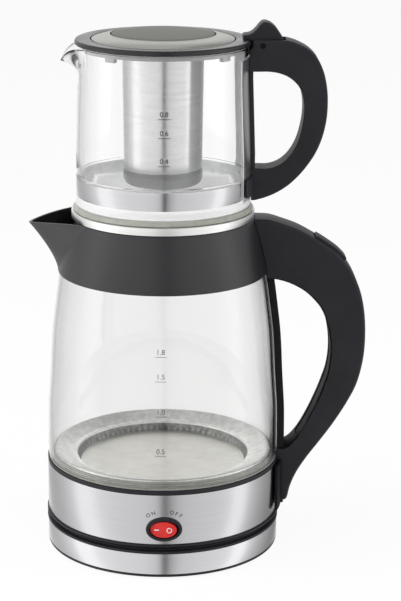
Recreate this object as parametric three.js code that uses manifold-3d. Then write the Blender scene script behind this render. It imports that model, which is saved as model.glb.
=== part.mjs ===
// Automatic tea maker: a glass kettle on a cordless power base, with a glass teapot standing on its neck.
// Lengths are in millimetres, +Z is up, the spout points along -X and both handles along +X.
// The kettle axis is the line x = 0 while the pieces are made. The whole is then moved along X,
// so that the origin lies at the middle of the object's footprint, on the table.
import * as THREE from "three";
import { mergeVertices } from "three/addons/utils/BufferGeometryUtils.js";
import Module from "manifold-3d";

const wasm = await Module();
wasm.setup();

// Counts and angles
const roundFacets = 32;
const mediumFacets = 16;
const smallFacets = 12;
const degree = Math.PI / 180;
const quarterTurn = Math.PI / 2;
const facetAngle = (2 * Math.PI) / roundFacets;

// Clearances that every piece uses
const seatGap = 0.3;
const slideGap = 0.5;
const overrun = 6;
const weldDistance = 0.001;
const closeDistance = 0.05;

// Power base
const baseRadius = 82.5;
const baseRimClearance = 1.2;
const undersideRimHeight = 2.1;
const undersideRimWidth = 3;
const undersideThickness = 2.2;
const undersideRecess = 1;
const undersideSpigotHeight = 3;
const baseRingHeight = 14.9;
const baseRingThickness = 0.8;
const coverRimOverhang = 0.5;
const baseCoverRimHeight = 1.6;
const baseCoverStep = 1.2;
const coverStepInset = 3;
const baseCoverWall = 2.4;
const footRadius = 6.4;
const footHeight = 2.9;
const footChamfer = 0.8;
const footCircleInset = 8.4;
const footCircleRadius = baseRadius - footCircleInset;
const footCount = 3;
const footAngle = 72 * degree;
const screwHeadRadius = 3.2;
const screwHeadHeight = 1.2;
const screwShankRadius = 1.5;
const screwShankLength = 8;
const screwPostRadius = 4;
const screwCircleInset = 32.5;
const screwCircleRadius = baseRadius - screwCircleInset;
const glandWidth = 12;
const glandHeight = 7;
const glandLength = 12;
const glandBore = 6;
const glandFlange = 1.6;

// Connector between base and kettle
const connectorRadius = 14;
const connectorRise = 12;
const connectorChamfer = 0.8;
const connectorFlangeRadius = 18;
const connectorDepth = 10.6;
const contactSlotDepth = 10;
const earthPinRadius = 2;
const innerContactRadius = 6.5;
const outerContactRadius = 10.5;
const contactThickness = 0.8;
const contactClearance = 0.5;
const contactTipGap = 1;
const socketWall = 4.3;
const socketRoofThickness = 4;
const socketRoofGap = 0.7;
const socketFlangeWidth = 3.4;
const socketFlangeThickness = 2;

// Kettle bottom, housing and heater
const kettleCoverStep = 2;
const kettleCoverRimHeight = 1.4;
const kettleCoverThickness = 2.2;
const coverSpigotHeight = 3.4;
const sleeveHeight = 35.8;
const sleeveThickness = 0.7;
const housingWall = 2;
const housingFlangeHeight = 2.7;
const housingFlangeWidth = 5.4;
const gasketThickness = 0.8;
const gasketWidth = 5;
const gasketUpstand = 4;
const plateThickness = 1;
const plateFloorRadius = 57.4;
const plateFloorDrop = 12.3;
const wellRadius = 61.5;
const wellLipDrop = 5.3;
const plateRimInset = 1.5;
const plateSkirtHeight = 5;
const spreaderRadius = 50;
const spreaderThickness = 3;
const elementRadius = 40;
const elementTubeRadius = 3.3;
const elementSteps = 18;
const elementSides = 8;
const elementOpening = 50 * degree;
const controlLength = 44;
const controlWidth = 36;
const controlCorner = 6;
const controlNeckHeight = 3;

// Kettle glass and collar
const glassInset = 0.9;
const glassBottomRadius = baseRadius - glassInset;
const glassShoulder = 14.3;
const glassTopRadius = glassBottomRadius - glassShoulder;
const glassWall = 2.6;
const glassHeight = 150.5;
const glassOutlineShares = [
  [0, 1],
  [0.25, 0.972],
  [0.48, 0.826],
  [0.7, 0.625],
  [0.83, 0.44],
  [0.89, 0.336],
  [0.945, 0.11],
  [1, 0],
];
const collarFlare = 6.1;
const collarBottomRadius = glassTopRadius + collarFlare;
const collarTaper = 3.6;
const collarTopRadius = glassTopRadius - collarTaper;
const collarHeight = 38.7;
const collarOverlap = 16.5;
const collarWall = 3;
const collarBulgePower = 1.25;
const collarLedgeWidth = 3;
const collarLedgeThickness = 1.5;
const spoutProjection = 30;
const spoutReach = collarTopRadius + spoutProjection;
const spoutTipDrop = 4.4;
const spoutDropPower = 1.8;
const spoutWall = 2.4;
const spoutHalfAngle = 32 * degree;
const spoutKeelAngle = 4 * degree;
const spoutTipRounding = 1.5 * degree;
const spoutKeelPower = 1.37;
const spoutSidePower = 1.35;
const collarOuterLevels = [0, 0.14, 0.32, 0.5, 0.68, 0.85, 1];
const collarInnerShares = [1, 0.49, 0];
const collarInnerRise = 3;
const beakAngles = [0, 2, 5, 9, 13.5, 18, 22.5, 28].map((angle) => angle * degree);
const filterHalfAngle = 36 * degree;
const filterThickness = 1.2;
const filterSlotCount = 9;
const filterSlotWidth = 2.2;
const filterSlotMargin = 2.4;

// Neck on which the teapot stands
const neckRingHeight = 5.4;
const neckRingChamfer = 0.8;
const neckRingWidth = 5.5;
const neckRingInnerRadius = collarTopRadius - neckRingWidth;
const neckRingWall = 2.1;
const neckSkirtDepth = 6.2;
const neckRabbetDepth = 2.5;
const neckRabbetInset = 1.7;
const neckRabbetRadius = collarTopRadius - neckRabbetInset;
const sealRise = 3.8;
const sealTaper = 1.4;
const sealBead = 1;

// Kettle handle
const handleRootRadius = collarTopRadius + seatGap;
const handleDepth = 78.7;
const handleReach = handleRootRadius + handleDepth;
const handleTailHeight = 24;
const handleTopDrop = 0.7;
const handleWidth = 24;
const handleRounding = 3.5;
const handleOuterShares = [
  [0.016, 1],
  [0.125, 0.998],
  [0.24, 0.985],
  [0.38, 0.966],
  [0.52, 0.938],
  [0.64, 0.91],
  [0.75, 0.879],
  [0.86, 0.828],
  [0.94, 0.763],
  [0.985, 0.69],
  [1, 0.6],
  [0.985, 0.52],
  [0.93, 0.436],
  [0.84, 0.368],
  [0.72, 0.296],
  [0.6, 0.234],
  [0.49, 0.179],
  [0.4, 0.125],
  [0.345, 0.075],
  [0.325, 0.042],
  [0.31, 0.028],
];
const handleInnerShares = [
  [0.195, 0.798],
  [0.276, 0.79],
  [0.36, 0.777],
  [0.45, 0.757],
  [0.53, 0.73],
  [0.6, 0.697],
  [0.652, 0.65],
  [0.683, 0.592],
  [0.688, 0.535],
  [0.668, 0.478],
  [0.626, 0.428],
  [0.573, 0.377],
  [0.5, 0.317],
  [0.415, 0.261],
  [0.345, 0.23],
  [0.287, 0.216],
];
const handleOuterSteps = 26;
const handleInnerSteps = 18;
const strapThickness = 4.6;
const strapWidth = 20;
const strapTailHeight = 28;
const strapFlangeAngle = 18 * degree;
const strapFlangeThickness = 2.2;
const channelWidth = 13.6;
const channelDepth = 8;
const insertThickness = 2.4;
const channelSpanShares = [0.05, 0.93];

// Power switch on top of the kettle handle
const switchSpanShares = [0.16, 0.272];
const switchWidth = 15;
const switchProud = 1.8;
const switchDepth = 4;
const switchTravelDepth = 4;
const switchPinRadius = 1.2;
const switchPinInset = 1.4;
const switchPinShare = 0.93;
const switchSteps = 6;
const pinBoreGap = 0.3;

// Keep-warm rocker switch on the housing
const bezelLength = 25;
const bezelHeight = 17.5;
const bezelProud = 1.6;
const bezelFlange = 1.2;
const bezelBorder = 2.3;
const rockerAxisHeight = 36.6;
const rockerPocketDepth = 9;
const rockerSwitchLength = 18.6;
const rockerSwitchHeight = 11.4;
const rockerSwitchDepth = 20;
const rockerPivotDepth = 5;
const rockerTilt = 8 * degree;
const rockerCrown = 1.3;
const rockerBack = 2.6;
const rockerPinRadius = 1;
const rockerPinReach = 0.8;

// Teapot glass
const potFootInset = 2.9;
const potFootRadius = collarTopRadius - potFootInset;
const potFootWidth = 4.6;
const potFootHeight = 5;
const potUndersideRecess = 2.4;
const potFloorThickness = 3.2;
const potFloorCorner = 3;
const potFootStep = 0.6;
const potLowerRadius = potFootRadius - potFootStep;
const potTaper = 1.9;
const potUpperRadius = potLowerRadius - potTaper;
const potWall = 2.2;
const potHeight = 109.2;
const bandHeight = 15.3;
const bandThickness = 0.5;
const potLipStart = 88;
const potLipReach = 12;
const potLipDrop = 10.6;
const potLipHalfAngle = 24 * degree;
const potLipFlarePower = 3;
const potLipSidePower = 1.2;
const potLipLevels = [0.45, 0.75, 0.9, 1];
const potStrapThickness = 0.6;
const potStrapHalfAngle = 27 * degree;
const potStrapTopDrop = 7;

// Teapot handle
const potHandleOffset = 3.7;
const potHandleRoot = potUpperRadius + potHandleOffset;
const potHandleDepth = 50.6;
const potHandleReach = potHandleRoot + potHandleDepth;
const potHandleDrop = 2.8;
const potHandleRise = 4.6;
const potHandleWidth = 21;
const potHandleRounding = 3;
const potPlateWidth = 17;
const potPlateThickness = 1.9;
const potBracketHalfAngle = 25 * degree;
const potBracketThickness = 1.8;
const potBracketInset = 2.8;
const potHandleOuterShares = [
  [0.435, 1],
  [0.528, 0.989],
  [0.628, 0.97],
  [0.73, 0.944],
  [0.836, 0.898],
  [0.93, 0.815],
  [0.985, 0.71],
  [1, 0.605],
  [0.984, 0.497],
  [0.93, 0.39],
  [0.845, 0.297],
  [0.74, 0.222],
  [0.62, 0.155],
  [0.48, 0.095],
  [0.328, 0.05],
  [0.178, 0.02],
  [0.026, 0],
];
const potHandleInnerShares = [
  [0.06, 0.806],
  [0.2, 0.806],
  [0.33, 0.797],
  [0.45, 0.776],
  [0.56, 0.738],
  [0.635, 0.69],
  [0.672, 0.625],
  [0.678, 0.544],
  [0.654, 0.459],
  [0.605, 0.375],
  [0.53, 0.305],
  [0.43, 0.25],
  [0.32, 0.218],
  [0.2, 0.203],
  [0.08, 0.203],
];
const potOuterSteps = 22;
const potInnerSteps = 15;
const earCornerShares = [
  [-0.035, 0.943],
  [-0.018, 0.975],
  [0.025, 1],
];

// Lid hinge and lid
const hingeOffset = 9.2;
const hingeRadius = potUpperRadius + hingeOffset;
const hingeRise = 0.9;
const hingePinRadius = 1.7;
const leverWidth = 15;
const leverReachShare = 0.137;
const leverRiseShare = 0.1425;
const leverSlotGap = 0.8;
const knuckleRoomShare = 0.074;
const leverSwing = 67 * degree;
const lidOverhang = 2.2;
const lidRadius = potUpperRadius + lidOverhang;
const lidGap = 1.2;
const lidRimHeight = 3.5;
const lidRimWidth = 11;
const lidRimInnerRadius = lidRadius - lidRimWidth;
const lidPlateWidth = 13.8;
const lidDiscRadius = lidRimInnerRadius - lidPlateWidth;
const lidPlateRise = 3.3;
const lidDiscRise = 0.8;
const lidCrownShares = [0.5, 0.75];
const lidInsertDepth = 1.7;
const linerThickness = 1.5;
const linerSkirtDepth = 2.2;
const linerWall = 1.6;
const lidHandleClearance = 0.7;

// Infuser in the teapot
const holderFlange = 0.6;
const holderDepth = 3;
const holderWall = 1;
const holderWebThickness = 1.2;
const holderNotchWidth = 26;
const holderNotchDepth = 10;
const lugCount = 4;
const lugWidth = 8;
const lugHeight = 3;
const lugTurn = 4.3 * degree;
const lugThickness = 2.2;
const infuserTopRadius = 27.6;
const infuserBottomRadius = 26.4;
const infuserWall = 0.5;
const infuserCupWall = 0.6;
const infuserCupHeight = 9;
const infuserFloorGap = 9.6;
const infuserFlangeWidth = 5.4;
const infuserFlangeThickness = 0.6;
const infuserScreenLap = 1.8;
const infuserCupRounding = 1.4;

// Solids

// A closed solid from a geometry: shared vertices are welded, flat triangles dropped, faces turned out.
function solidOf(geometry) {
  const bare = new THREE.BufferGeometry();
  bare.setAttribute("position", geometry.getAttribute("position"));
  if (geometry.index) bare.setIndex(geometry.index);
  const merged = mergeVertices(bare, weldDistance);
  const positions = merged.getAttribute("position").array;
  const corner = (i) => new THREE.Vector3().fromArray(positions, 3 * i);
  const kept = [];
  let volume = 0;
  for (let i = 0; i < merged.index.count; i += 3) {
    const [a, b, c] = merged.index.array.slice(i, i + 3);
    if (a === b || b === c || c === a) continue;
    kept.push([a, b, c]);
    volume += corner(a).dot(corner(b).cross(corner(c)));
  }
  const triangles = volume < 0 ? kept.map(([a, b, c]) => [a, c, b]) : kept;
  const mesh = new wasm.Mesh({
    numProp: 3,
    vertProperties: positions,
    triVerts: new Uint32Array(triangles.flat()),
  });
  return new wasm.Manifold(mesh);
}

function geometryOf(solid) {
  const mesh = solid.getMesh();
  const geometry = new THREE.BufferGeometry();
  geometry.setAttribute("position", new THREE.BufferAttribute(mesh.vertProperties, mesh.numProp));
  geometry.setIndex(new THREE.BufferAttribute(mesh.triVerts, 1));
  geometry.computeVertexNormals();
  return geometry;
}

// A profile of [radius, height] pairs turned about the vertical axis.
function revolved(profile, facets = roundFacets) {
  const points = profile.map(([radius, height]) => new THREE.Vector2(radius, height));
  const onAxis = points[0].x === 0 && points.at(-1).x === 0;
  if (!onAxis) points.push(points[0].clone());
  const geometry = new THREE.LatheGeometry(points, facets);
  geometry.rotateX(quarterTurn);
  return solidOf(geometry);
}

// An outline without points that lie on a straight run or on top of each other.
function tidied(outline) {
  const apart = outline.filter(([x, y], i) => {
    const [x0, y0] = outline.at(i - 1);
    return Math.hypot(x - x0, y - y0) > closeDistance;
  });
  return apart.filter(([x, y], i) => {
    const [x0, y0] = apart.at(i - 1);
    const [x1, y1] = apart[(i + 1) % apart.length];
    const area = (x - x0) * (y1 - y0) - (x1 - x0) * (y - y0);
    return Math.abs(area) > weldDistance * weldDistance;
  });
}

function shapeOf(outline) {
  return new THREE.Shape(tidied(outline).map(([x, y]) => new THREE.Vector2(x, y)));
}

// A side outline of [x, z] pairs, extruded along Y about the plane y = middle, with rounded edges.
function sideExtrusion(outline, width, rounding = 0, middle = 0) {
  const depth = width - 2 * rounding;
  const geometry = new THREE.ExtrudeGeometry(shapeOf(outline), {
    depth,
    bevelEnabled: rounding > 0,
    bevelThickness: rounding,
    bevelSize: rounding,
    bevelOffset: -rounding,
    bevelSegments: 2,
  });
  geometry.translate(0, 0, -depth / 2);
  geometry.rotateX(quarterTurn);
  geometry.translate(0, middle, 0);
  return solidOf(geometry);
}

// A plan outline of [x, y] pairs, extruded upwards.
function planExtrusion(outline, bottom, top) {
  const geometry = new THREE.ExtrudeGeometry(shapeOf(outline), { depth: top - bottom, bevelEnabled: false });
  geometry.translate(0, 0, bottom);
  return solidOf(geometry);
}

// A round pin along Y.
function crossPin(radius, length, x, z) {
  const geometry = new THREE.CylinderGeometry(radius, radius, length, smallFacets);
  geometry.translate(x, 0, z);
  return solidOf(geometry);
}

// Rows of points at the given azimuths from the -X axis, joined into one skin. A row is a function
// from azimuth to [radius, height]. A capped skin is closed at its first and last row.
function lofted(rows, azimuths, capped) {
  const positions = [];
  const index = [];
  const across = azimuths.length;
  for (const row of rows) {
    for (const azimuth of azimuths) {
      const [radius, height] = row(azimuth);
      positions.push(-radius * Math.cos(azimuth), -radius * Math.sin(azimuth), height);
    }
  }
  const bands = capped ? rows.length - 1 : rows.length;
  for (let band = 0; band < bands; band += 1) {
    const lower = band * across;
    const upper = ((band + 1) % rows.length) * across;
    for (let i = 0; i < across; i += 1) {
      const next = (i + 1) % across;
      index.push(lower + i, lower + next, upper + next, lower + i, upper + next, upper + i);
    }
  }
  if (capped) {
    const ends = [0, rows.length - 1];
    ends.forEach((row, end) => {
      const centre = positions.length / 3;
      positions.push(0, 0, rows[row](azimuths[across >> 1])[1]);
      for (let i = 0; i < across; i += 1) {
        const near = row * across + i;
        const far = row * across + ((i + 1) % across);
        index.push(...(end === 0 ? [centre, far, near] : [centre, near, far]));
      }
    });
  }
  const geometry = new THREE.BufferGeometry();
  geometry.setAttribute("position", new THREE.Float32BufferAttribute(positions, 3));
  geometry.setIndex(index);
  return solidOf(geometry);
}

// Azimuths for a round body with a beak at azimuth 0: fine steps there, the usual facets elsewhere.
function beakAzimuths() {
  const half = [...beakAngles];
  for (let step = Math.floor(beakAngles.at(-1) / facetAngle) + 1; step < roundFacets / 2; step += 1) {
    half.push(step * facetAngle);
  }
  const other = half.slice(1).map((azimuth) => -azimuth);
  return [...other.reverse(), ...half, Math.PI];
}

// Curves and profiles

function smoothed(points, steps) {
  const curve = new THREE.CatmullRomCurve3(
    points.map(([x, z]) => new THREE.Vector3(x, 0, z)),
    false,
    "centripetal",
  );
  return curve.getSpacedPoints(steps).map((point) => [point.x, point.z]);
}

// Shares of a box, written as [x, z] pairs from its lower corner, as real places.
function placed(shares, left, right, bottom, top) {
  return shares.map(([x, z]) => [left + x * (right - left), bottom + z * (top - bottom)]);
}

// The same line moved sideways: to its left as it runs, by the given distance. An end on the axis stays there.
function offsetLine(line, distance) {
  return line.map(([x, z], i) => {
    const [x0, z0] = line[Math.max(i - 1, 0)];
    const [x1, z1] = line[Math.min(i + 1, line.length - 1)];
    const before = new THREE.Vector2(x - x0, z - z0).normalize();
    const after = new THREE.Vector2(x1 - x, z1 - z).normalize();
    const along = before.clone().add(after).normalize();
    const single = i === 0 || i === line.length - 1;
    const stretch = single ? 1 : 1 / Math.max(along.dot(after), 0.5);
    const moved = [x - along.y * distance * stretch, z + along.x * distance * stretch];
    return x === 0 && single ? [0, moved[1]] : moved;
  });
}

// A closed profile between a line and the same line moved sideways by a wall.
function thickened(line, wall) {
  return [...line, ...offsetLine(line, wall).reverse()];
}

function between(line, fromShare, toShare) {
  const last = line.length - 1;
  return line.filter((_, i) => i >= fromShare * last && i <= toShare * last);
}

function interpolated(line, height) {
  const upper = line.findIndex(([, z]) => z >= height);
  if (upper <= 0) return upper === 0 ? line[0][0] : line.at(-1)[0];
  const [r0, z0] = line[upper - 1];
  const [r1, z1] = line[upper];
  return r0 + ((r1 - r0) * (height - z0)) / (z1 - z0);
}

function ovalPoints(length, height, count) {
  const points = [];
  for (let i = 0; i < count; i += 1) {
    const angle = (2 * Math.PI * i) / count;
    points.push([(length / 2) * Math.cos(angle), (height / 2) * Math.sin(angle)]);
  }
  return points;
}

function turned(solid, angle) {
  return solid.rotate([0, 0, angle / degree]);
}

// A wedge about the +X axis that reaches past the object, used to keep one sector of a ring.
function sectorAbout(halfAngle, bottom, top) {
  const reach = 2 * handleReach;
  const corner = reach * Math.tan(halfAngle);
  return planExtrusion(
    [
      [0, 0],
      [reach, -corner],
      [reach, corner],
    ],
    bottom,
    top,
  );
}

// Heights, from the table up
const footRecessTop = footHeight + seatGap;
const undersideBottom = footRecessTop - undersideRecess;
const undersideTop = undersideBottom + undersideThickness;
const baseRingBottom = baseRimClearance + undersideRimHeight;
const baseRingTop = baseRingBottom + baseRingHeight;
const baseCoverRimBottom = baseRingTop + seatGap;
const baseCoverRimTop = baseCoverRimBottom + baseCoverRimHeight;
const baseCoverTop = baseCoverRimTop + baseCoverStep;
const baseCoverRoof = baseCoverTop - baseCoverWall;
const kettleBottom = baseCoverTop + seatGap;
const kettleCoverRimBottom = kettleBottom + kettleCoverStep;
const kettleCoverRimTop = kettleCoverRimBottom + kettleCoverRimHeight;
const kettleCoverFloor = kettleBottom + kettleCoverThickness;
const sleeveBottom = kettleCoverRimTop + seatGap;
const sleeveTop = sleeveBottom + sleeveHeight;
const housingFlangeBottom = sleeveTop + seatGap;
const housingTop = housingFlangeBottom + housingFlangeHeight;
const gasketBottom = housingTop + seatGap;
const gasketTop = gasketBottom + gasketThickness;
const glassBottom = gasketTop + seatGap;
const glassTop = glassBottom + glassHeight;
const collarBottom = glassTop - collarOverlap;
const collarTop = collarBottom + collarHeight;
const neckRingBottom = collarTop + seatGap;
const neckRingTop = neckRingBottom + neckRingHeight;
const neckRabbetFloor = neckRingTop - neckRabbetDepth;
const sealBottom = neckRabbetFloor + seatGap;
const sealTop = neckRingTop + sealRise;
const potBottom = sealTop + seatGap;
const potTop = potBottom + potHeight;
const lidBottom = potTop + lidGap;

// Radii that follow from the sizes above
const coverRimRadius = baseRadius + coverRimOverhang;
const coverStepRadius = baseRadius - coverStepInset;
const baseWallRadius = baseRadius - baseRingThickness - seatGap;
const baseWallInner = baseWallRadius - baseCoverWall;
const connectorTop = baseCoverTop + connectorRise;
const connectorFlangeTop = baseCoverRoof - seatGap;
const connectorBottom = connectorFlangeTop - connectorDepth;
const socketInnerRadius = connectorRadius + contactClearance;
const socketRadius = socketInnerRadius + socketWall;
const socketFlangeRadius = socketRadius + socketFlangeWidth;
const socketRoof = connectorTop + socketRoofGap;
const socketTop = socketRoof + socketRoofThickness;
const sleeveRadius = baseRadius - seatGap;
const housingRadius = sleeveRadius - sleeveThickness - seatGap;
const housingInner = housingRadius - housingWall;

const glassLine = glassOutlineShares.map(([height, radius]) => [
  glassTopRadius + radius * (glassBottomRadius - glassTopRadius),
  glassBottom + height * glassHeight,
]);
const glassInnerRadius = glassBottomRadius - glassWall;

function collarRadiusAt(height) {
  const share = Math.min(Math.max((height - collarBottom) / collarHeight, 0), 1);
  return collarTopRadius + (collarBottomRadius - collarTopRadius) * (1 - share ** collarBulgePower);
}

const collarLedgeTop = glassTop + seatGap + collarLedgeThickness;
const collarFloorLevel = (collarLedgeTop + collarInnerRise - collarBottom) / collarHeight;
const collarInnerLevels = collarInnerShares.map((share) => collarFloorLevel + share * (1 - collarFloorLevel));
const collarLine = collarOuterLevels.map((level) => {
  const height = collarBottom + level * collarHeight;
  return [collarRadiusAt(height), height];
});

// Everything inside the kettle's outer surface, with the seat gap: handle and strap are trimmed to it.
function kettleEnvelope() {
  const coverEdge = coverRimRadius + seatGap;
  const glassPart = glassLine.filter(([, height]) => height < collarBottom - seatGap);
  const shoulder = interpolated(glassLine, collarBottom - seatGap);
  return revolved([
    [0, strapTailHeight - overrun],
    [coverEdge, strapTailHeight - overrun],
    [coverEdge, housingTop],
    ...glassPart.map(([radius, height]) => [radius + seatGap, height]),
    [shoulder + seatGap, collarBottom - seatGap],
    [collarBottomRadius + seatGap, collarBottom - seatGap],
    ...collarLine.map(([radius, height]) => [radius + seatGap, height]),
    [collarTopRadius + seatGap, collarTop + overrun],
    [0, collarTop + overrun],
  ]);
}

// Power base pieces

function baseUnderside() {
  const spigot = baseWallInner - seatGap;
  const rimInner = baseRadius - undersideRimWidth;
  const supportInner = connectorFlangeRadius - undersideRimWidth;
  const plate = revolved([
    [0, undersideBottom],
    [rimInner, undersideBottom],
    [rimInner, baseRimClearance],
    [baseRadius - seatGap, baseRimClearance],
    [baseRadius - seatGap, baseRingBottom - seatGap],
    [spigot, baseRingBottom - seatGap],
    [spigot, undersideTop + undersideSpigotHeight],
    [spigot - undersideThickness, undersideTop + undersideSpigotHeight],
    [spigot - undersideThickness, undersideTop],
    [connectorFlangeRadius, undersideTop],
    [connectorFlangeRadius, connectorBottom - seatGap],
    [supportInner, connectorBottom - seatGap],
    [supportInner, undersideTop],
    [0, undersideTop],
  ]);
  const cuts = [];
  for (let i = 0; i < footCount; i += 1) {
    cuts.push(turned(footRecess(), footPlace(i)));
    cuts.push(turned(screwHole(), screwPlace(i)));
  }
  return cuts.reduce((solid, cut) => solid.subtract(cut), plate);
}

function footPlace(i) {
  return -quarterTurn - footAngle / 2 + (2 * Math.PI * i) / footCount;
}

function screwPlace(i) {
  return footPlace(i) + Math.PI / footCount;
}

function roundAt(profile, distance) {
  return revolved(profile, smallFacets).translate([distance, 0, 0]);
}

function footRecess() {
  const radius = footRadius + seatGap;
  return roundAt(
    [
      [0, undersideBottom - overrun],
      [radius, undersideBottom - overrun],
      [radius, footRecessTop],
      [0, footRecessTop],
    ],
    footCircleRadius,
  );
}

function foot(i) {
  const profile = [
    [0, 0],
    [footRadius - footChamfer, 0],
    [footRadius, footChamfer],
    [footRadius, footHeight],
    [0, footHeight],
  ];
  return turned(roundAt(profile, footCircleRadius), footPlace(i));
}

function screwHole() {
  const seat = undersideBottom + undersideThickness / 2;
  const head = screwHeadRadius + seatGap;
  const shank = screwShankRadius + seatGap;
  return roundAt(
    [
      [0, undersideBottom - overrun],
      [head, undersideBottom - overrun],
      [head, seat],
      [shank, seat],
      [shank, undersideTop + overrun],
      [0, undersideTop + overrun],
    ],
    screwCircleRadius,
  );
}

function baseScrew(i) {
  const seat = undersideBottom + undersideThickness / 2 - seatGap;
  const profile = [
    [0, seat - screwHeadHeight],
    [screwHeadRadius, seat - screwHeadHeight],
    [screwHeadRadius, seat],
    [screwShankRadius, seat],
    [screwShankRadius, seat + screwShankLength],
    [0, seat + screwShankLength],
  ];
  return turned(roundAt(profile, screwCircleRadius), screwPlace(i));
}

function baseCover() {
  const hole = connectorRadius + seatGap;
  let cover = revolved([
    [hole, baseCoverRoof],
    [baseWallInner, baseCoverRoof],
    [baseWallInner, baseRingBottom],
    [baseWallRadius, baseRingBottom],
    [baseWallRadius, baseCoverRimBottom],
    [coverRimRadius, baseCoverRimBottom],
    [coverRimRadius, baseCoverRimTop],
    [coverStepRadius, baseCoverRimTop],
    [coverStepRadius, baseCoverTop],
    [hole, baseCoverTop],
  ]);
  for (let i = 0; i < footCount; i += 1) {
    cover = cover.add(turned(screwPost(), screwPlace(i)));
  }
  return cover.subtract(glandOpening());
}

function screwPost() {
  const bore = screwShankRadius + seatGap;
  const top = undersideTop + screwShankLength;
  return roundAt(
    [
      [0, top],
      [bore, top],
      [bore, undersideTop + seatGap],
      [screwPostRadius, undersideTop + seatGap],
      [screwPostRadius, baseCoverRoof + baseCoverWall / 2],
      [0, baseCoverRoof + baseCoverWall / 2],
    ],
    screwCircleRadius,
  );
}

// The cord outlet at the back of the base.
function glandBody(grow) {
  const width = glandWidth + 2 * grow;
  const low = glandBottom - grow;
  const high = glandBottom + glandHeight + grow;
  return slab(width, low, high, baseWallInner - glandLength / 2, baseWallInner + glandLength / 2);
}

function slab(width, low, high, near, far) {
  return planExtrusion(
    [
      [-width / 2, near],
      [width / 2, near],
      [width / 2, far],
      [-width / 2, far],
    ],
    low,
    high,
  );
}

const glandBottom = undersideTop + undersideSpigotHeight + seatGap;

function glandOpening() {
  return glandBody(seatGap);
}

function cordGland() {
  const near = baseWallInner - glandLength / 2;
  const flangeFar = near + glandFlange;
  const flange = slab(
    glandWidth + 2 * glandFlange,
    glandBottom,
    glandBottom + glandHeight + glandFlange,
    near,
    flangeFar,
  );
  const middle = glandBottom + glandHeight / 2;
  const bore = new THREE.CylinderGeometry(glandBore / 2, glandBore / 2, 2 * glandLength, smallFacets);
  bore.translate(0, baseWallInner, middle);
  return glandBody(0).add(flange).subtract(solidOf(bore));
}

function baseRing() {
  const inner = baseRadius - baseRingThickness;
  return revolved([
    [inner, baseRingBottom],
    [baseRadius, baseRingBottom],
    [baseRadius, baseRingTop],
    [inner, baseRingTop],
  ]).subtract(glandOpening());
}

function contactSlot(radius) {
  const outer = radius + contactThickness / 2 + contactClearance;
  const inner = radius - contactThickness / 2 - contactClearance;
  const floor = connectorTop - contactSlotDepth;
  return [
    [outer, connectorTop],
    [outer, floor],
    [inner, floor],
    [inner, connectorTop],
  ];
}

function baseConnector() {
  const pinHole = earthPinRadius + contactClearance;
  const pinFloor = connectorTop - contactSlotDepth - contactTipGap;
  return revolved(
    [
      [0, connectorBottom],
      [connectorFlangeRadius, connectorBottom],
      [connectorFlangeRadius, connectorFlangeTop],
      [connectorRadius, connectorFlangeTop],
      [connectorRadius, connectorTop - connectorChamfer],
      [connectorRadius - connectorChamfer, connectorTop],
      ...contactSlot(outerContactRadius),
      ...contactSlot(innerContactRadius),
      [pinHole, connectorTop],
      [pinHole, pinFloor],
      [0, pinFloor],
    ],
    mediumFacets,
  );
}

// Kettle socket pieces, which fit over the connector

function kettleSocket() {
  return revolved(
    [
      [0, socketRoof],
      [socketInnerRadius, socketRoof],
      [socketInnerRadius, kettleBottom],
      [socketRadius, kettleBottom],
      [socketRadius, kettleCoverFloor + seatGap],
      [socketFlangeRadius, kettleCoverFloor + seatGap],
      [socketFlangeRadius, kettleCoverFloor + seatGap + socketFlangeThickness],
      [socketRadius, kettleCoverFloor + seatGap + socketFlangeThickness],
      [socketRadius, socketTop],
      [0, socketTop],
    ],
    mediumFacets,
  );
}

const contactTop = socketRoof - seatGap;
const contactBottom = connectorTop - contactSlotDepth + contactTipGap;

function earthPin() {
  return revolved(
    [
      [0, contactBottom],
      [earthPinRadius, contactBottom],
      [earthPinRadius, contactTop],
      [0, contactTop],
    ],
    mediumFacets,
  );
}

function contactRing(radius) {
  const inner = radius - contactThickness / 2;
  const outer = radius + contactThickness / 2;
  return revolved(
    [
      [inner, contactBottom],
      [outer, contactBottom],
      [outer, contactTop],
      [inner, contactTop],
    ],
    mediumFacets,
  );
}

// Kettle bottom, housing and heater

function kettleBottomCover() {
  const hole = socketRadius + seatGap;
  const spigot = housingInner - seatGap;
  return revolved([
    [hole, kettleBottom],
    [coverStepRadius, kettleBottom],
    [coverStepRadius, kettleCoverRimBottom],
    [coverRimRadius, kettleCoverRimBottom],
    [coverRimRadius, kettleCoverRimTop],
    [spigot, kettleCoverRimTop],
    [spigot, kettleCoverRimTop + coverSpigotHeight],
    [spigot - kettleCoverThickness, kettleCoverRimTop + coverSpigotHeight],
    [spigot - kettleCoverThickness, kettleCoverFloor],
    [hole, kettleCoverFloor],
  ]);
}

// The outlines across the rocker switch's hole, seen from the front, as X and height.
function ovalAcross(length, height, near, far) {
  const outline = ovalPoints(length, height, mediumFacets).map(([x, z]) => [x, z + rockerAxisHeight]);
  return sideExtrusion(outline, far - near, 0, (near + far) / 2);
}

const bezelBarrelLength = bezelLength - 2 * bezelFlange;
const bezelBarrelHeight = bezelHeight - 2 * bezelFlange;
const bezelMouthLength = bezelLength - 2 * bezelBorder;
const bezelMouthHeight = bezelHeight - 2 * bezelBorder;

function rockerHole() {
  return ovalAcross(
    bezelBarrelLength + 2 * seatGap,
    bezelBarrelHeight + 2 * seatGap,
    -baseRadius - overrun,
    -housingInner + overrun,
  );
}

function housingSleeve() {
  const inner = sleeveRadius - sleeveThickness;
  return revolved([
    [inner, sleeveBottom],
    [sleeveRadius, sleeveBottom],
    [sleeveRadius, sleeveTop],
    [inner, sleeveTop],
  ]).subtract(rockerHole());
}

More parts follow.
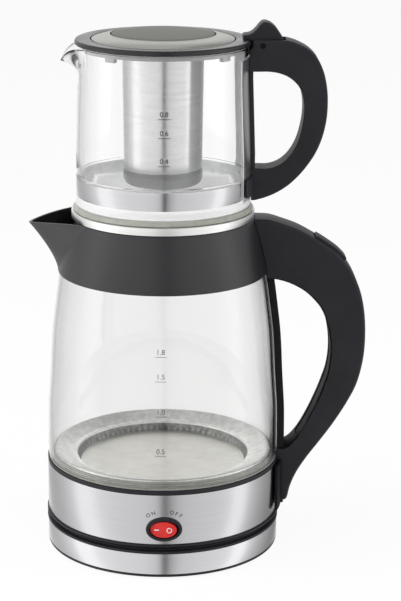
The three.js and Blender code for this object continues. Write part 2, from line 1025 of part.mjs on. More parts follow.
function kettleBaseHousing() {
  const flangeInner = sleeveRadius - housingFlangeWidth;
  return revolved([
    [housingInner, sleeveBottom],
    [housingRadius, sleeveBottom],
    [housingRadius, housingFlangeBottom],
    [sleeveRadius, housingFlangeBottom],
    [sleeveRadius, housingTop],
    [flangeInner, housingTop],
    [flangeInner, housingFlangeBottom],
    [housingInner, housingFlangeBottom - housingWall],
  ]).subtract(rockerHole());
}

const gasketOuterRadius = glassBottomRadius - seatGap;
const gasketUpstandOuter = glassInnerRadius - seatGap;
const plateRimRadius = gasketUpstandOuter - gasketThickness - seatGap;
const plateRimTop = glassBottom + plateSkirtHeight;

function glassGasket() {
  const upstandInner = gasketUpstandOuter - gasketThickness;
  return revolved([
    [gasketOuterRadius - gasketWidth, gasketBottom],
    [gasketOuterRadius, gasketBottom],
    [gasketOuterRadius, gasketTop],
    [gasketUpstandOuter, gasketTop],
    [gasketUpstandOuter, gasketTop + gasketUpstand],
    [upstandInner, gasketTop + gasketUpstand],
    [upstandInner, gasketTop],
    [gasketOuterRadius - gasketWidth, gasketTop],
  ]);
}

const plateFloorTop = plateRimTop - plateFloorDrop;

function heaterPlate() {
  const line = [
    [plateRimRadius, glassBottom],
    [plateRimRadius, plateRimTop - plateRimInset / 2],
    [plateRimRadius - plateRimInset, plateRimTop],
    [wellRadius, plateRimTop - wellLipDrop],
    [(wellRadius + plateFloorRadius) / 2, plateFloorTop + plateThickness],
    [plateFloorRadius, plateFloorTop],
    [0, plateFloorTop],
  ];
  return revolved(thickened(line, plateThickness));
}

const spreaderTop = plateFloorTop - plateThickness - seatGap;
const spreaderBottom = spreaderTop - spreaderThickness;

function heatSpreader() {
  return revolved([
    [0, spreaderBottom],
    [spreaderRadius, spreaderBottom],
    [spreaderRadius, spreaderTop],
    [0, spreaderTop],
  ]);
}

const elementHeight = spreaderBottom - seatGap - elementTubeRadius;
const controlBottom = socketTop + seatGap;
const controlTop = spreaderBottom - seatGap;

// A sheathed heating tube in a ring under the spreader, open at the back, with both ends turned down.
function heatingElement() {
  const start = quarterTurn + elementOpening / 2;
  const sweep = 2 * Math.PI - elementOpening;
  const bend = elementTubeRadius / elementRadius;
  const at = (angle, drop) =>
    new THREE.Vector3(elementRadius * Math.cos(angle), elementRadius * Math.sin(angle), elementHeight - drop);
  const route = [at(start - 2 * bend, 2 * elementTubeRadius), at(start - bend, elementTubeRadius / 2)];
  for (let i = 0; i <= elementSteps; i += 1) {
    route.push(at(start + (sweep * i) / elementSteps, 0));
  }
  route.push(at(start + sweep + bend, elementTubeRadius / 2), at(start + sweep + 2 * bend, 2 * elementTubeRadius));
  const diameter = 2 * elementTubeRadius;
  const section = new THREE.Shape(
    ovalPoints(diameter, diameter, elementSides).map(([x, y]) => new THREE.Vector2(x, y)),
  );
  const geometry = new THREE.ExtrudeGeometry(section, {
    steps: 2 * elementSteps,
    bevelEnabled: false,
    extrudePath: new THREE.CatmullRomCurve3(route, false, "centripetal"),
  });
  return solidOf(geometry);
}

// Thermostat and connector block that hangs under the heater, on the socket's roof.
function controlUnit() {
  const corner = controlCorner;
  const x = controlLength / 2;
  const y = controlWidth / 2;
  const outline = [
    [-x + corner, -y],
    [x - corner, -y],
    [x, -y + corner],
    [x, y - corner],
    [x - corner, y],
    [-x + corner, y],
    [-x, y - corner],
    [-x, -y + corner],
  ];
  const neck = revolved(
    [
      [0, controlBottom],
      [socketRadius, controlBottom],
      [socketRadius, controlTop],
      [0, controlTop],
    ],
    mediumFacets,
  );
  return planExtrusion(outline, controlBottom + controlNeckHeight, controlTop).add(neck);
}

// Kettle glass, collar and neck

function kettleGlass() {
  return revolved(thickened(glassLine, glassWall));
}

function spoutShapeAt(azimuth, level) {
  const off = Math.hypot(azimuth, spoutTipRounding) - spoutTipRounding;
  const halfAngle = spoutKeelAngle + (spoutHalfAngle - spoutKeelAngle) * level;
  return Math.max(0, 1 - off / halfAngle) ** spoutSidePower;
}

// The collar's outer surface with the spout drawn out of it.
function collarOuter(azimuth, level) {
  const rim = spoutShapeAt(azimuth, 1);
  const height = collarBottom + level * (collarHeight - spoutTipDrop * rim ** spoutDropPower);
  const reach = (spoutReach - collarRadiusAt(collarTop - spoutTipDrop)) * level ** spoutKeelPower;
  return [collarRadiusAt(height) + reach * spoutShapeAt(azimuth, level), height];
}

function kettleCollar() {
  const ledgeRadius = glassTopRadius - collarLedgeWidth;
  const ledgeBottom = glassTop + seatGap;
  const glassSeat = glassLine
    .filter(([, height]) => height > collarBottom)
    .map(([radius, height]) => [radius + seatGap, height])
    .reverse();
  const seatTop = [glassSeat[0][0], ledgeBottom];
  const seatEnd = [interpolated(glassLine, collarBottom) + seatGap, collarBottom];
  const inner = (azimuth, level) => {
    const [radius, height] = collarOuter(azimuth, level);
    const wall = spoutShapeAt(azimuth, level) > 0 ? spoutWall : collarWall;
    return [radius - wall, height];
  };
  const innerFloorRadius = (azimuth) => inner(azimuth, collarInnerLevels.at(-1))[0];
  const rows = [
    ...collarOuterLevels.map((level) => (azimuth) => collarOuter(azimuth, level)),
    ...collarInnerLevels.map((level) => (azimuth) => inner(azimuth, level)),
    (azimuth) => [innerFloorRadius(azimuth), collarLedgeTop],
    () => [ledgeRadius, collarLedgeTop],
    () => [ledgeRadius, ledgeBottom],
    () => seatTop,
    ...glassSeat.slice(1).map((place) => () => place),
    () => seatEnd,
  ];
  return lofted(rows, beakAzimuths(), false);
}

// The filter across the spout's inlet, between the collar's ledge and the neck ring's skirt.
function spoutFilter() {
  const low = collarLedgeTop + seatGap;
  const floor = collarLedgeTop + collarInnerRise;
  const high = neckRingBottom - neckSkirtDepth - seatGap;
  const radiusAt = (height) => collarRadiusAt(height) - collarWall - seatGap;
  const line = [
    [radiusAt(floor), low],
    [radiusAt(floor), floor],
    [radiusAt(high), high],
  ];
  const ring = revolved(thickened(line, filterThickness));
  let filter = ring.intersect(turned(sectorAbout(filterHalfAngle, low - overrun, high + overrun), Math.PI));
  const slotLow = low + filterSlotMargin;
  const slotHigh = high - filterSlotMargin;
  for (let i = 0; i < filterSlotCount; i += 1) {
    const angle = Math.PI + ((i + 0.5) / filterSlotCount - 0.5) * spoutHalfAngle * 2;
    const slot = planExtrusion(
      [
        [connectorRadius, -filterSlotWidth / 2],
        [spoutReach, -filterSlotWidth / 2],
        [spoutReach, filterSlotWidth / 2],
        [connectorRadius, filterSlotWidth / 2],
      ],
      slotLow,
      slotHigh,
    );
    filter = filter.subtract(turned(slot, angle));
  }
  return filter;
}

function neckRing() {
  const skirtOuter = neckRingInnerRadius + neckRingWall;
  return revolved([
    [neckRingInnerRadius, neckRingBottom - neckSkirtDepth],
    [skirtOuter, neckRingBottom - neckSkirtDepth],
    [skirtOuter, neckRingBottom],
    [collarTopRadius, neckRingBottom],
    [collarTopRadius, neckRingTop - neckRingChamfer],
    [collarTopRadius - neckRingChamfer, neckRingTop],
    [neckRabbetRadius, neckRingTop],
    [neckRabbetRadius, neckRabbetFloor],
    [neckRingInnerRadius, neckRabbetFloor],
  ]);
}

function neckSeal() {
  const outer = neckRabbetRadius - seatGap;
  const bead = outer + sealBead;
  const beadBottom = neckRingTop + seatGap;
  return revolved([
    [neckRingInnerRadius, sealBottom],
    [outer, sealBottom],
    [outer, beadBottom],
    [bead, beadBottom],
    [bead, beadBottom + sealBead],
    [bead - sealTaper, sealTop],
    [neckRingInnerRadius, sealTop],
  ]);
}

// Kettle handle, strap and insert

const handleOuterLine = smoothed(
  placed(handleOuterShares, handleRootRadius, handleReach, handleTailHeight, collarTop - handleTopDrop),
  handleOuterSteps,
);
const handleInnerLine = smoothed(
  placed(handleInnerShares, handleRootRadius, handleReach, handleTailHeight, collarTop - handleTopDrop),
  handleInnerSteps,
);
const strapOuterRadius = glassBottomRadius + seatGap + strapThickness;

function strapOutline(gap) {
  const top = collarBottom - seatGap + gap;
  const back = glassLine
    .filter(([radius, height]) => height > glassBottom && height < top && radius > 0)
    .map(([radius, height]) => [radius + seatGap + strapThickness + gap, height]);
  const topBack = [interpolated(glassLine, top) + seatGap + strapThickness + gap, top];
  return [
    [handleRootRadius, strapTailHeight],
    [strapOuterRadius + gap, strapTailHeight],
    [strapOuterRadius + gap, glassBottom],
    ...back,
    topBack,
    [handleRootRadius, top],
  ];
}

function kettleHandleStrap() {
  const flangeInner = coverRimRadius + seatGap;
  const flange = revolved([
    [flangeInner, strapTailHeight],
    [flangeInner + strapFlangeThickness, strapTailHeight],
    [flangeInner + strapFlangeThickness, sleeveTop],
    [flangeInner, sleeveTop],
  ]).intersect(sectorAbout(strapFlangeAngle, strapTailHeight - overrun, sleeveTop + overrun));
  return sideExtrusion(strapOutline(0), strapWidth).subtract(kettleEnvelope()).add(flange);
}

function switchLine() {
  return between(handleOuterLine, switchSpanShares[0], switchSpanShares[1]);
}

function switchPocket() {
  const line = smoothed(switchLine(), switchSteps);
  const beyond = ([x0, z0], [x1, z1]) => {
    const share = slideGap / Math.hypot(x1 - x0, z1 - z0);
    return [x1 + share * (x1 - x0), z1 + share * (z1 - z0)];
  };
  const stretched = [beyond(line[1], line[0]), ...line.slice(1, -1), beyond(line.at(-2), line.at(-1))];
  const outline = [
    ...offsetLine(stretched, overrun),
    ...offsetLine(stretched, -switchDepth - switchTravelDepth).reverse(),
  ];
  return sideExtrusion(outline, switchWidth + 2 * seatGap);
}

function switchPinPlace() {
  const line = smoothed(switchLine(), switchSteps);
  const deep = offsetLine(line, -switchPinInset);
  return deep[Math.round(switchPinShare * (deep.length - 1))];
}

function powerSwitch() {
  const line = smoothed(switchLine(), switchSteps);
  const outline = [...offsetLine(line, switchProud), ...offsetLine(line, -switchDepth).reverse()];
  const [x, z] = switchPinPlace();
  return sideExtrusion(outline, switchWidth, 1).subtract(
    crossPin(switchPinRadius + pinBoreGap, switchWidth + overrun, x, z),
  );
}

function switchPin() {
  const [x, z] = switchPinPlace();
  return crossPin(switchPinRadius, handleWidth - handleRounding, x, z);
}

function kettleHandleShell() {
  const inside = collarTopRadius - overrun;
  const outline = [
    [inside, handleOuterLine[0][1]],
    ...handleOuterLine,
    [inside, handleOuterLine.at(-1)[1]],
    [inside, handleInnerLine.at(-1)[1]],
    ...[...handleInnerLine].reverse(),
    [inside, handleInnerLine[0][1]],
  ];
  const flangeRoom = coverRimRadius + strapFlangeThickness + 2 * seatGap;
  const flangeClearance = revolved([
    [0, strapTailHeight - overrun],
    [flangeRoom, strapTailHeight - overrun],
    [flangeRoom, sleeveTop + seatGap],
    [0, sleeveTop + seatGap],
  ]);
  const mouth = between(handleInnerLine, channelSpanShares[0], channelSpanShares[1]);
  const channel = sideExtrusion(
    [...offsetLine(mouth, channelDepth), ...offsetLine(mouth, -overrun).reverse()],
    channelWidth,
  );
  const [pinX, pinZ] = switchPinPlace();
  const pinBore = crossPin(switchPinRadius + pinBoreGap, handleWidth - handleRounding + 2 * seatGap, pinX, pinZ);
  return sideExtrusion(outline, handleWidth, handleRounding)
    .subtract(kettleEnvelope())
    .subtract(flangeClearance)
    .subtract(sideExtrusion(strapOutline(seatGap), strapWidth + 2 * seatGap))
    .subtract(channel)
    .subtract(switchPocket())
    .subtract(pinBore);
}

function kettleHandleInsert() {
  const mouth = between(handleInnerLine, channelSpanShares[0], channelSpanShares[1]);
  const trimmed = mouth.slice(1, -1);
  const outline = [...offsetLine(trimmed, insertThickness + seatGap), ...offsetLine(trimmed, seatGap).reverse()];
  return sideExtrusion(outline, channelWidth - 2 * seatGap);
}

// Keep-warm rocker switch

function bezelPlug(length, height, near, far) {
  return ovalAcross(length, height, -near, -far);
}

const bezelFace = sleeveRadius + bezelProud;
const rockerPivotRadius = bezelFace - rockerPivotDepth;

function rockerSwitchHousing() {
  const sleeveBody = revolved([
    [0, sleeveBottom],
    [sleeveRadius + seatGap, sleeveBottom],
    [sleeveRadius + seatGap, sleeveTop],
    [0, sleeveTop],
  ]);
  const flange = bezelPlug(bezelLength, bezelHeight, bezelFace, bezelFace - overrun).subtract(sleeveBody);
  const barrel = bezelPlug(bezelBarrelLength, bezelBarrelHeight, bezelFace - seatGap, bezelFace - rockerSwitchDepth);
  const pocket = bezelPlug(
    bezelMouthLength,
    bezelMouthHeight,
    bezelFace + overrun,
    bezelFace - rockerPocketDepth,
  );
  return flange.add(barrel).subtract(pocket).subtract(rockerPin(rockerPinRadius + pinBoreGap, bezelBarrelHeight));
}

// The rocker's two stub pins, upright, about which it rocks.
function rockerPin(radius, length) {
  const geometry = new THREE.CylinderGeometry(radius, radius, length, smallFacets);
  geometry.rotateX(quarterTurn);
  geometry.translate(0, -rockerPivotRadius, rockerAxisHeight);
  return solidOf(geometry);
}

// The rocker: a shallow ridge in front, a round back about its pivot, cut to an oval face.
function keepWarmRocker() {
  const half = rockerSwitchLength / 2;
  const pivot = -rockerPivotRadius;
  const rise = half * Math.tan(rockerTilt);
  const front = -bezelFace - rockerCrown + rise;
  const outline = [
    [-half, front],
    [0, front - rise],
    [half, front],
    [half, pivot - rockerBack / 2],
    [rockerBack, pivot + rockerBack],
    [-rockerBack, pivot + rockerBack],
    [-half, pivot - rockerBack / 2],
  ];
  const low = rockerAxisHeight - rockerSwitchHeight / 2;
  const slab = planExtrusion(outline, low, low + rockerSwitchHeight);
  const face = bezelPlug(rockerSwitchLength, rockerSwitchHeight, bezelFace + overrun, bezelFace - rockerSwitchDepth);
  const pin = rockerPin(rockerPinRadius, bezelMouthHeight + 2 * rockerPinReach);
  const rocker = slab.intersect(face).add(pin).translate([0, rockerPivotRadius, 0]);
  return turned(rocker, -rockerTilt).translate([0, -rockerPivotRadius, 0]);
}

// Teapot

const bandSeatBottom = potBottom + potFootHeight;
const bandSeatTop = bandSeatBottom + bandHeight + seatGap;
const bandSeatRadius = potLowerRadius - bandThickness - seatGap;
const potLipBottom = potBottom + potLipStart;

const potLine = [
  [potFootRadius, potBottom],
  [bandSeatRadius, bandSeatBottom],
  [bandSeatRadius, bandSeatTop],
  [potLowerRadius, bandSeatTop + seatGap],
  [potLowerRadius, bandSeatTop + bandHeight],
  [potUpperRadius, potLipBottom],
];

function lipShapeAt(azimuth) {
  const off = Math.hypot(azimuth, spoutTipRounding) - spoutTipRounding;
  return Math.max(0, 1 - off / potLipHalfAngle) ** potLipSidePower;
}

// The wall above the start of the pouring lip: straight up, but thrown outwards and down at the lip.
function lipOuter(azimuth, level) {
  const shape = lipShapeAt(azimuth);
  const top = potTop - potLipDrop * shape ** potLipFlarePower;
  const height = potLipBottom + level * (top - potLipBottom);
  return [potUpperRadius + potLipReach * shape * level ** potLipFlarePower, height];
}

function teapotGlass() {
  const floorTop = potBottom + potUndersideRecess + potFloorThickness;
  const innerWall = (radius) => radius - potWall;
  const rows = [
    () => [potFootRadius - 2 * potFootWidth, potBottom + potUndersideRecess],
    () => [potFootRadius - potFootWidth, potBottom],
    ...potLine.map((place) => () => place),
    ...potLipLevels.map((level) => (azimuth) => lipOuter(azimuth, level)),
    ...[...potLipLevels].reverse().map((level) => (azimuth) => {
      const [radius, height] = lipOuter(azimuth, level);
      return [innerWall(radius), height];
    }),
    () => [innerWall(potUpperRadius), potLipBottom],
    () => [innerWall(potLowerRadius), bandSeatTop + bandHeight],
    () => [innerWall(bandSeatRadius), floorTop + potFloorCorner],
    () => [innerWall(bandSeatRadius) - potFloorCorner, floorTop],
  ];
  return lofted(rows, beakAzimuths(), true);
}

function teapotBand() {
  const inner = bandSeatRadius + seatGap;
  const bottom = bandSeatBottom + seatGap;
  return revolved([
    [inner, bottom],
    [inner + bandThickness, bottom],
    [inner + bandThickness, bandSeatBottom + bandHeight],
    [inner, bandSeatBottom + bandHeight],
  ]);
}

const potStrapLine = [
  [potLowerRadius + seatGap, bandSeatBottom],
  [potLowerRadius + seatGap, bandSeatTop + bandHeight],
  [potUpperRadius + seatGap, potLipBottom],
  [potUpperRadius + seatGap, potTop - potStrapTopDrop],
];

function teapotStrap() {
  const line = [...potStrapLine].reverse();
  return revolved(thickened(line, potStrapThickness)).intersect(
    sectorAbout(potStrapHalfAngle, potBottom - overrun, potTop + overrun),
  );
}

const hingeHeight = potTop + hingeRise;
const potHandleBottom = potBottom + potHandleDrop;
const potHandleTop = potTop + potHandleRise;
const potHandleHeight = potHandleTop - potHandleBottom;
const leverReach = leverReachShare * potHandleHeight;
const leverRise = leverRiseShare * potHandleHeight;
const leverSlotRadius = leverRise + leverSlotGap;
const knuckleRoomRadius = knuckleRoomShare * potHandleHeight;

const potHandleOuterLine = smoothed(
  placed(potHandleOuterShares, potHandleRoot, potHandleReach, potHandleBottom, potHandleTop),
  potOuterSteps,
);
const potHandleInnerLine = smoothed(
  placed(potHandleInnerShares, potHandleRoot, potHandleReach, potHandleBottom, potHandleTop),
  potInnerSteps,
);

// Everything that the teapot handle wraps: glass, steel strap and band, and the lid's rim above them.
function teapotEnvelope() {
  const gap = 2 * seatGap + potStrapThickness;
  return revolved([
    [0, potBottom - overrun],
    [potLowerRadius + gap, potBottom - overrun],
    [potLowerRadius + gap, bandSeatTop + bandHeight],
    [potUpperRadius + gap, potLipBottom],
    [potUpperRadius + gap, potTop - potStrapTopDrop],
    [lidRadius + lidHandleClearance, potTop - seatGap],
    [lidRadius + lidHandleClearance, potHandleTop + overrun],
    [0, potHandleTop + overrun],
  ]);
}

// Points on an arc about the hinge pin, by angles from the +X axis.
function hingeArc(radius, fromAngle, toAngle, steps) {
  const points = [];
  for (let i = 0; i <= steps; i += 1) {
    const angle = fromAngle + ((toAngle - fromAngle) * i) / steps;
    points.push([hingeRadius + radius * Math.cos(angle), hingeHeight + radius * Math.sin(angle)]);
  }
  return points;
}

// Room between the ears: a small round below the lever's knuckle, a large one where its tip swings down.
function leverSlotOutline() {
  const left = potUpperRadius - overrun;
  return [
    [left, hingeHeight + leverSlotRadius],
    ...hingeArc(leverSlotRadius, quarterTurn, -leverSwing, smallFacets),
    ...hingeArc(knuckleRoomRadius, -leverSwing, -quarterTurn, 3),
    [left, hingeHeight - knuckleRoomRadius],
  ];
}

// The part of the handle that reaches round the band on both sides.
function potBracket() {
  const inner = potLowerRadius + 2 * seatGap + potStrapThickness;
  const outer = inner + potBracketThickness;
  const low = bandSeatBottom + potBracketInset;
  const high = bandSeatBottom + bandHeight;
  return revolved([
    [inner, low],
    [outer, low],
    [outer, high],
    [inner, high],
  ]).intersect(sectorAbout(potBracketHalfAngle, low - overrun, high + overrun));
}

function teapotHandle() {
  const left = potUpperRadius - overrun;
  const corners = placed(earCornerShares, potHandleRoot, potHandleReach, potHandleBottom, potHandleTop);
  const outline = [
    [left, potHandleInnerLine[0][1]],
    [left, corners[0][1] - overrun],
    ...corners,
    ...potHandleOuterLine,
    [left, potHandleBottom],
    [left, potHandleInnerLine.at(-1)[1]],
    ...[...potHandleInnerLine].reverse(),
  ];
  const plateLine = potStrapLine.map(([radius, height]) => [
    radius + potStrapThickness + seatGap + potPlateThickness,
    height,
  ]);
  const plate = sideExtrusion(
    [[left, plateLine[0][1]], ...plateLine, [left, plateLine.at(-1)[1]]],
    potPlateWidth,
  );
  return sideExtrusion(outline, potHandleWidth, potHandleRounding)
    .add(plate)
    .subtract(teapotEnvelope())
    .add(potBracket())
    .subtract(sideExtrusion(leverSlotOutline(), leverWidth + 2 * slideGap))
    .subtract(crossPin(hingePinRadius + pinBoreGap, potHandleWidth + overrun, hingeRadius, hingeHeight));
}

function lidHingePin() {
  return crossPin(hingePinRadius, potHandleWidth - slideGap, hingeRadius, hingeHeight);
}

// Infuser and its holder

const holderBottom = potTop + seatGap - holderDepth;
const holderWebTop = holderBottom + holderWebThickness;
const holderTop = potTop + seatGap + holderFlange;
const holderRadius = potUpperRadius - potWall - slideGap;

function infuserHolder() {
  const bore = infuserTopRadius + slideGap + holderWall;
  const ring = revolved([
    [bore, holderBottom],
    [holderRadius, holderBottom],
    [holderRadius, potTop + seatGap],
    [potUpperRadius, potTop + seatGap],
    [potUpperRadius, holderTop],
    [holderRadius - holderWall, holderTop],
    [holderRadius - holderWall, holderWebTop],
    [bore, holderWebTop],
  ]);
  const notch = planExtrusion(
    [
      [-potUpperRadius - overrun, -holderNotchWidth / 2],
      [holderNotchDepth - potUpperRadius, -holderNotchWidth / 2],
      [holderNotchDepth - potUpperRadius, holderNotchWidth / 2],
      [-potUpperRadius - overrun, holderNotchWidth / 2],
    ],
    holderBottom - overrun,
    holderTop + overrun,
  );
  const lug = planExtrusion(
    [
      [holderRadius - lugThickness - holderWall, -lugWidth / 2],
      [holderRadius - holderWall, -lugWidth / 2],
      [holderRadius - holderWall, lugWidth / 2],
      [holderRadius - lugThickness - holderWall, lugWidth / 2],
    ],
    holderBottom - lugHeight,
    holderWebTop - holderWebThickness / 2,
  );
  let holder = ring.subtract(notch);
  for (let i = 0; i < lugCount; i += 1) {
    holder = holder.add(turned(lug, lugTurn + (2 * Math.PI * (i + 0.5)) / lugCount));
  }
  return holder;
}

const infuserFloor = potBottom + potUndersideRecess + potFloorThickness + infuserFloorGap;
const infuserCupTop = infuserFloor + infuserCupHeight;
const infuserFlangeBottom = holderWebTop + seatGap;

function infuserScreen() {
  const line = [
    [infuserTopRadius + infuserFlangeWidth, infuserFlangeBottom + infuserFlangeThickness],
    [infuserTopRadius, infuserFlangeBottom + infuserFlangeThickness],
    [infuserBottomRadius, infuserFloor + infuserScreenLap],
  ];
  return revolved(thickened(line, infuserWall));
}

function infuserCup() {
  const outer = infuserBottomRadius + 2 * seatGap + infuserCupWall;
  const line = [
    [outer, infuserCupTop],
    [outer, infuserFloor + infuserCupRounding],
    [outer - infuserCupRounding, infuserFloor],
    [0, infuserFloor],
  ];
  return revolved(thickened(line, -infuserCupWall));
}

// Lid

const lidRimTop = lidBottom + lidRimHeight;
const lidRimLine = [
  [lidRadius - lidGap / 2, lidBottom],
  [lidRadius, lidBottom + lidGap],
  [lidRadius - lidGap / 4, lidRimTop - lidGap / 2],
  [lidRadius - lidGap, lidRimTop],
  [lidRimInnerRadius, lidRimTop],
];
const linerRadius = lidRimInnerRadius + linerWall;
const insertBottom = lidRimTop - lidInsertDepth;
const discEdge = lidRimTop + lidPlateRise;
const discBottom = discEdge - lidInsertDepth;

function lidRim() {
  return revolved([
    ...lidRimLine,
    [lidRimInnerRadius, insertBottom - seatGap],
    [linerRadius + seatGap, insertBottom - 2 * seatGap],
    [linerRadius + seatGap, lidBottom],
  ]);
}

function lidPlate() {
  const inner = lidDiscRadius + seatGap;
  const outer = lidRimInnerRadius - seatGap;
  return revolved([
    [inner, discBottom],
    [outer, insertBottom],
    [outer, lidRimTop],
    [inner, discEdge],
  ]);
}

function lidDisc() {
  return revolved([
    [0, discBottom],
    [lidDiscRadius, discBottom],
    [lidDiscRadius, discEdge],
    [lidDiscRadius * lidCrownShares[0], discEdge + lidDiscRise * lidCrownShares[1]],
    [0, discEdge + lidDiscRise],
  ]);
}

function lidLiner() {
  const top = insertBottom - seatGap;
  const middleTop = discBottom - seatGap;
  const skirt = lidBottom - linerSkirtDepth;
  const outer = lidRimInnerRadius - seatGap;
  return revolved([
    [0, middleTop - linerThickness],
    [lidDiscRadius, middleTop - linerThickness],
    [outer - linerWall, top - linerThickness],
    [linerRadius - linerWall, skirt],
    [linerRadius, skirt],
    [linerRadius, lidBottom],
    [outer, insertBottom - 3 * seatGap],
    [outer, top],
    [lidDiscRadius, middleTop],
    [0, middleTop],
  ]);
}

// The thumb lever: its toe lies on the lid's rim, its knuckle turns on the hinge pin.
const leverShares = [
  [-0.87, 0.43],
  [-0.53, 0.49],
  [-0.3, 0.67],
  [-0.1, 0.9],
  [0.05, 1],
  [0.32, 0.95],
  [0.58, 0.76],
  [0.78, 0.5],
  [0.95, 0.25],
  [0.88, 0.14],
  [0.5, 0.03],
  [0.24, -0.2],
  [0, -0.27],
  [-0.2, -0.22],
  [-0.32, -0.05],
  [-0.42, 0.16],
  [-0.87, 0.2],
];

function lidLever() {
  const outline = placed(
    leverShares,
    hingeRadius,
    hingeRadius + leverReach,
    hingeHeight,
    hingeHeight + leverRise,
  );
  const rimBody = revolved([
    [0, lidBottom - overrun],
    [lidRimLine[0][0] + seatGap, lidBottom - overrun],
    ...lidRimLine.map(([radius, height]) => [radius + seatGap, height + seatGap]),
    [0, lidRimTop + seatGap],
  ]);
  return sideExtrusion(outline, leverWidth)
    .subtract(rimBody)
    .subtract(crossPin(hingePinRadius + pinBoreGap, leverWidth + overrun, hingeRadius, hingeHeight));
}

// Finishes

function finish(color, roughness, metalness, opacity = 1) {
  return new THREE.MeshStandardMaterial({
    color,
    roughness,
    metalness,
    opacity,
    transparent: opacity < 1,
  });
}

const charcoalPlastic = () => finish("#2d2d31", 0.4, 0);
const brushedSteel = () => finish("#c4c4c8", 0.3, 1);
const clearGlass = () => finish("#eef2f2", 0.05, 0, 0.3);
const rubber = () => finish("#1b1b1d", 0.8, 0);
const silicone = () => finish("#b9bcbc", 0.5, 0, 0.8);
const aluminium = () => finish("#a9abad", 0.5, 1);
const brass = () => finish("#b08d4a", 0.35, 1);
const redPlastic = () => finish("#d8433f", 0.3, 0);
const palePlastic = () => finish("#c9cac6", 0.4, 0, 0.8);
const innerPlastic = () => finish("#e2e0d8", 0.5, 0);

const teaMaker = new THREE.Group();

function piece(name, solid, material) {
  const mesh = new THREE.Mesh(geometryOf(solid), material);
  mesh.name = name;
  teaMaker.add(mesh);
}

piece("base_underside", baseUnderside(), charcoalPlastic());
piece("base_cover", baseCover(), charcoalPlastic());
piece("base_ring", baseRing(), brushedSteel());
piece("base_connector", baseConnector(), charcoalPlastic());
piece("cord_gland", cordGland(), rubber());
for (let i = 0; i < footCount; i += 1) {
  piece("base_foot_" + (i + 1), foot(i), rubber());
  piece("base_screw_" + (i + 1), baseScrew(i), brushedSteel());
}
piece("kettle_socket", kettleSocket(), charcoalPlastic());
piece("socket_earth_pin", earthPin(), brass());
piece("socket_inner_contact", contactRing(innerContactRadius), brass());
piece("socket_outer_contact", contactRing(outerContactRadius), brass());
piece("kettle_bottom_cover", kettleBottomCover(), charcoalPlastic());
piece("kettle_base_housing", kettleBaseHousing(), charcoalPlastic());
piece("housing_sleeve", housingSleeve(), brushedSteel());
piece("glass_gasket", glassGasket(), silicone());
piece("heater_plate", heaterPlate(), brushedSteel());
piece("heat_spreader", heatSpreader(), aluminium());
piece("heating_element", heatingElement(), aluminium());
piece("control_unit", controlUnit(), innerPlastic());
piece("kettle_glass", kettleGlass(), clearGlass());
piece("kettle_collar", kettleCollar(), charcoalPlastic());
piece("spout_filter", spoutFilter(), charcoalPlastic());
piece("neck_ring", neckRing(), brushedSteel());
piece("neck_seal", neckSeal(), silicone());
piece("kettle_handle_shell", kettleHandleShell(), charcoalPlastic());
piece("kettle_handle_insert", kettleHandleInsert(), charcoalPlastic());
piece("kettle_handle_strap", kettleHandleStrap(), charcoalPlastic());
piece("power_switch", powerSwitch(), charcoalPlastic());
piece("power_switch_pin", switchPin(), brushedSteel());
piece("rocker_switch_housing", rockerSwitchHousing(), charcoalPlastic());
piece("keep_warm_rocker", keepWarmRocker(), redPlastic());
piece("teapot_glass", teapotGlass(), clearGlass());
piece("teapot_band", teapotBand(), brushedSteel());
piece("teapot_strap", teapotStrap(), brushedSteel());
piece("teapot_handle", teapotHandle(), charcoalPlastic());
piece("lid_hinge_pin", lidHingePin(), brushedSteel());
piece("infuser_holder", infuserHolder(), palePlastic());
piece("infuser_screen", infuserScreen(), brushedSteel());
piece("infuser_cup", infuserCup(), brushedSteel());
piece("lid_rim", lidRim(), charcoalPlastic());
piece("lid_plate", lidPlate(), brushedSteel());
piece("lid_disc", lidDisc(), charcoalPlastic());
piece("lid_liner", lidLiner(), charcoalPlastic());
piece("lid_lever", lidLever(), charcoalPlastic());

// The origin: the middle of the footprint.
const extent = new THREE.Box3().setFromObject(teaMaker);
teaMaker.position.set(-(extent.min.x + extent.max.x) / 2, 0, -extent.min.z);

export default teaMaker;
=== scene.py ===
import math

import bpy
from mathutils import Matrix, Vector


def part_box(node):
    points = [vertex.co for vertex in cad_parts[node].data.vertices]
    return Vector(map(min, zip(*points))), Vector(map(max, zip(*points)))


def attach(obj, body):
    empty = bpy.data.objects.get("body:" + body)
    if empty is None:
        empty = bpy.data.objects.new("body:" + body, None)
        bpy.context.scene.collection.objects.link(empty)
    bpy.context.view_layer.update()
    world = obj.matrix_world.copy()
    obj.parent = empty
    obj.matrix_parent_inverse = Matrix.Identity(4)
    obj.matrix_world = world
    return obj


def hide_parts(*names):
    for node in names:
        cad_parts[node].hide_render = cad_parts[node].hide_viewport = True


# Looks of a tea maker: a glass teapot on a glass kettle on its power base.
# The profiles below are radius and height in millimetres, about the kettle's axis, from the table up.

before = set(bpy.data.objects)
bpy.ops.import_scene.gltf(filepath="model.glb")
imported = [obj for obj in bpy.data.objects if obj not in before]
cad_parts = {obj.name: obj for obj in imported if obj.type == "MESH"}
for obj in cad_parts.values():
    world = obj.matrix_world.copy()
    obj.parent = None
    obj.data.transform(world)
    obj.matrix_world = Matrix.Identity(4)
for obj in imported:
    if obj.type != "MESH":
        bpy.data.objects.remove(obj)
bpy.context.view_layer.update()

MM = 0.001
CLOSE = 1e-6
FULL_TURN = 2 * math.pi

low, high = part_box("kettle_glass")
AXIS_X = (low.x + high.x) / 2


# Placing


def metres(x, y, z):
    """A point in millimetres about the kettle's axis, as a place in the frame."""
    return Vector((AXIS_X + x * MM, y * MM, z * MM))


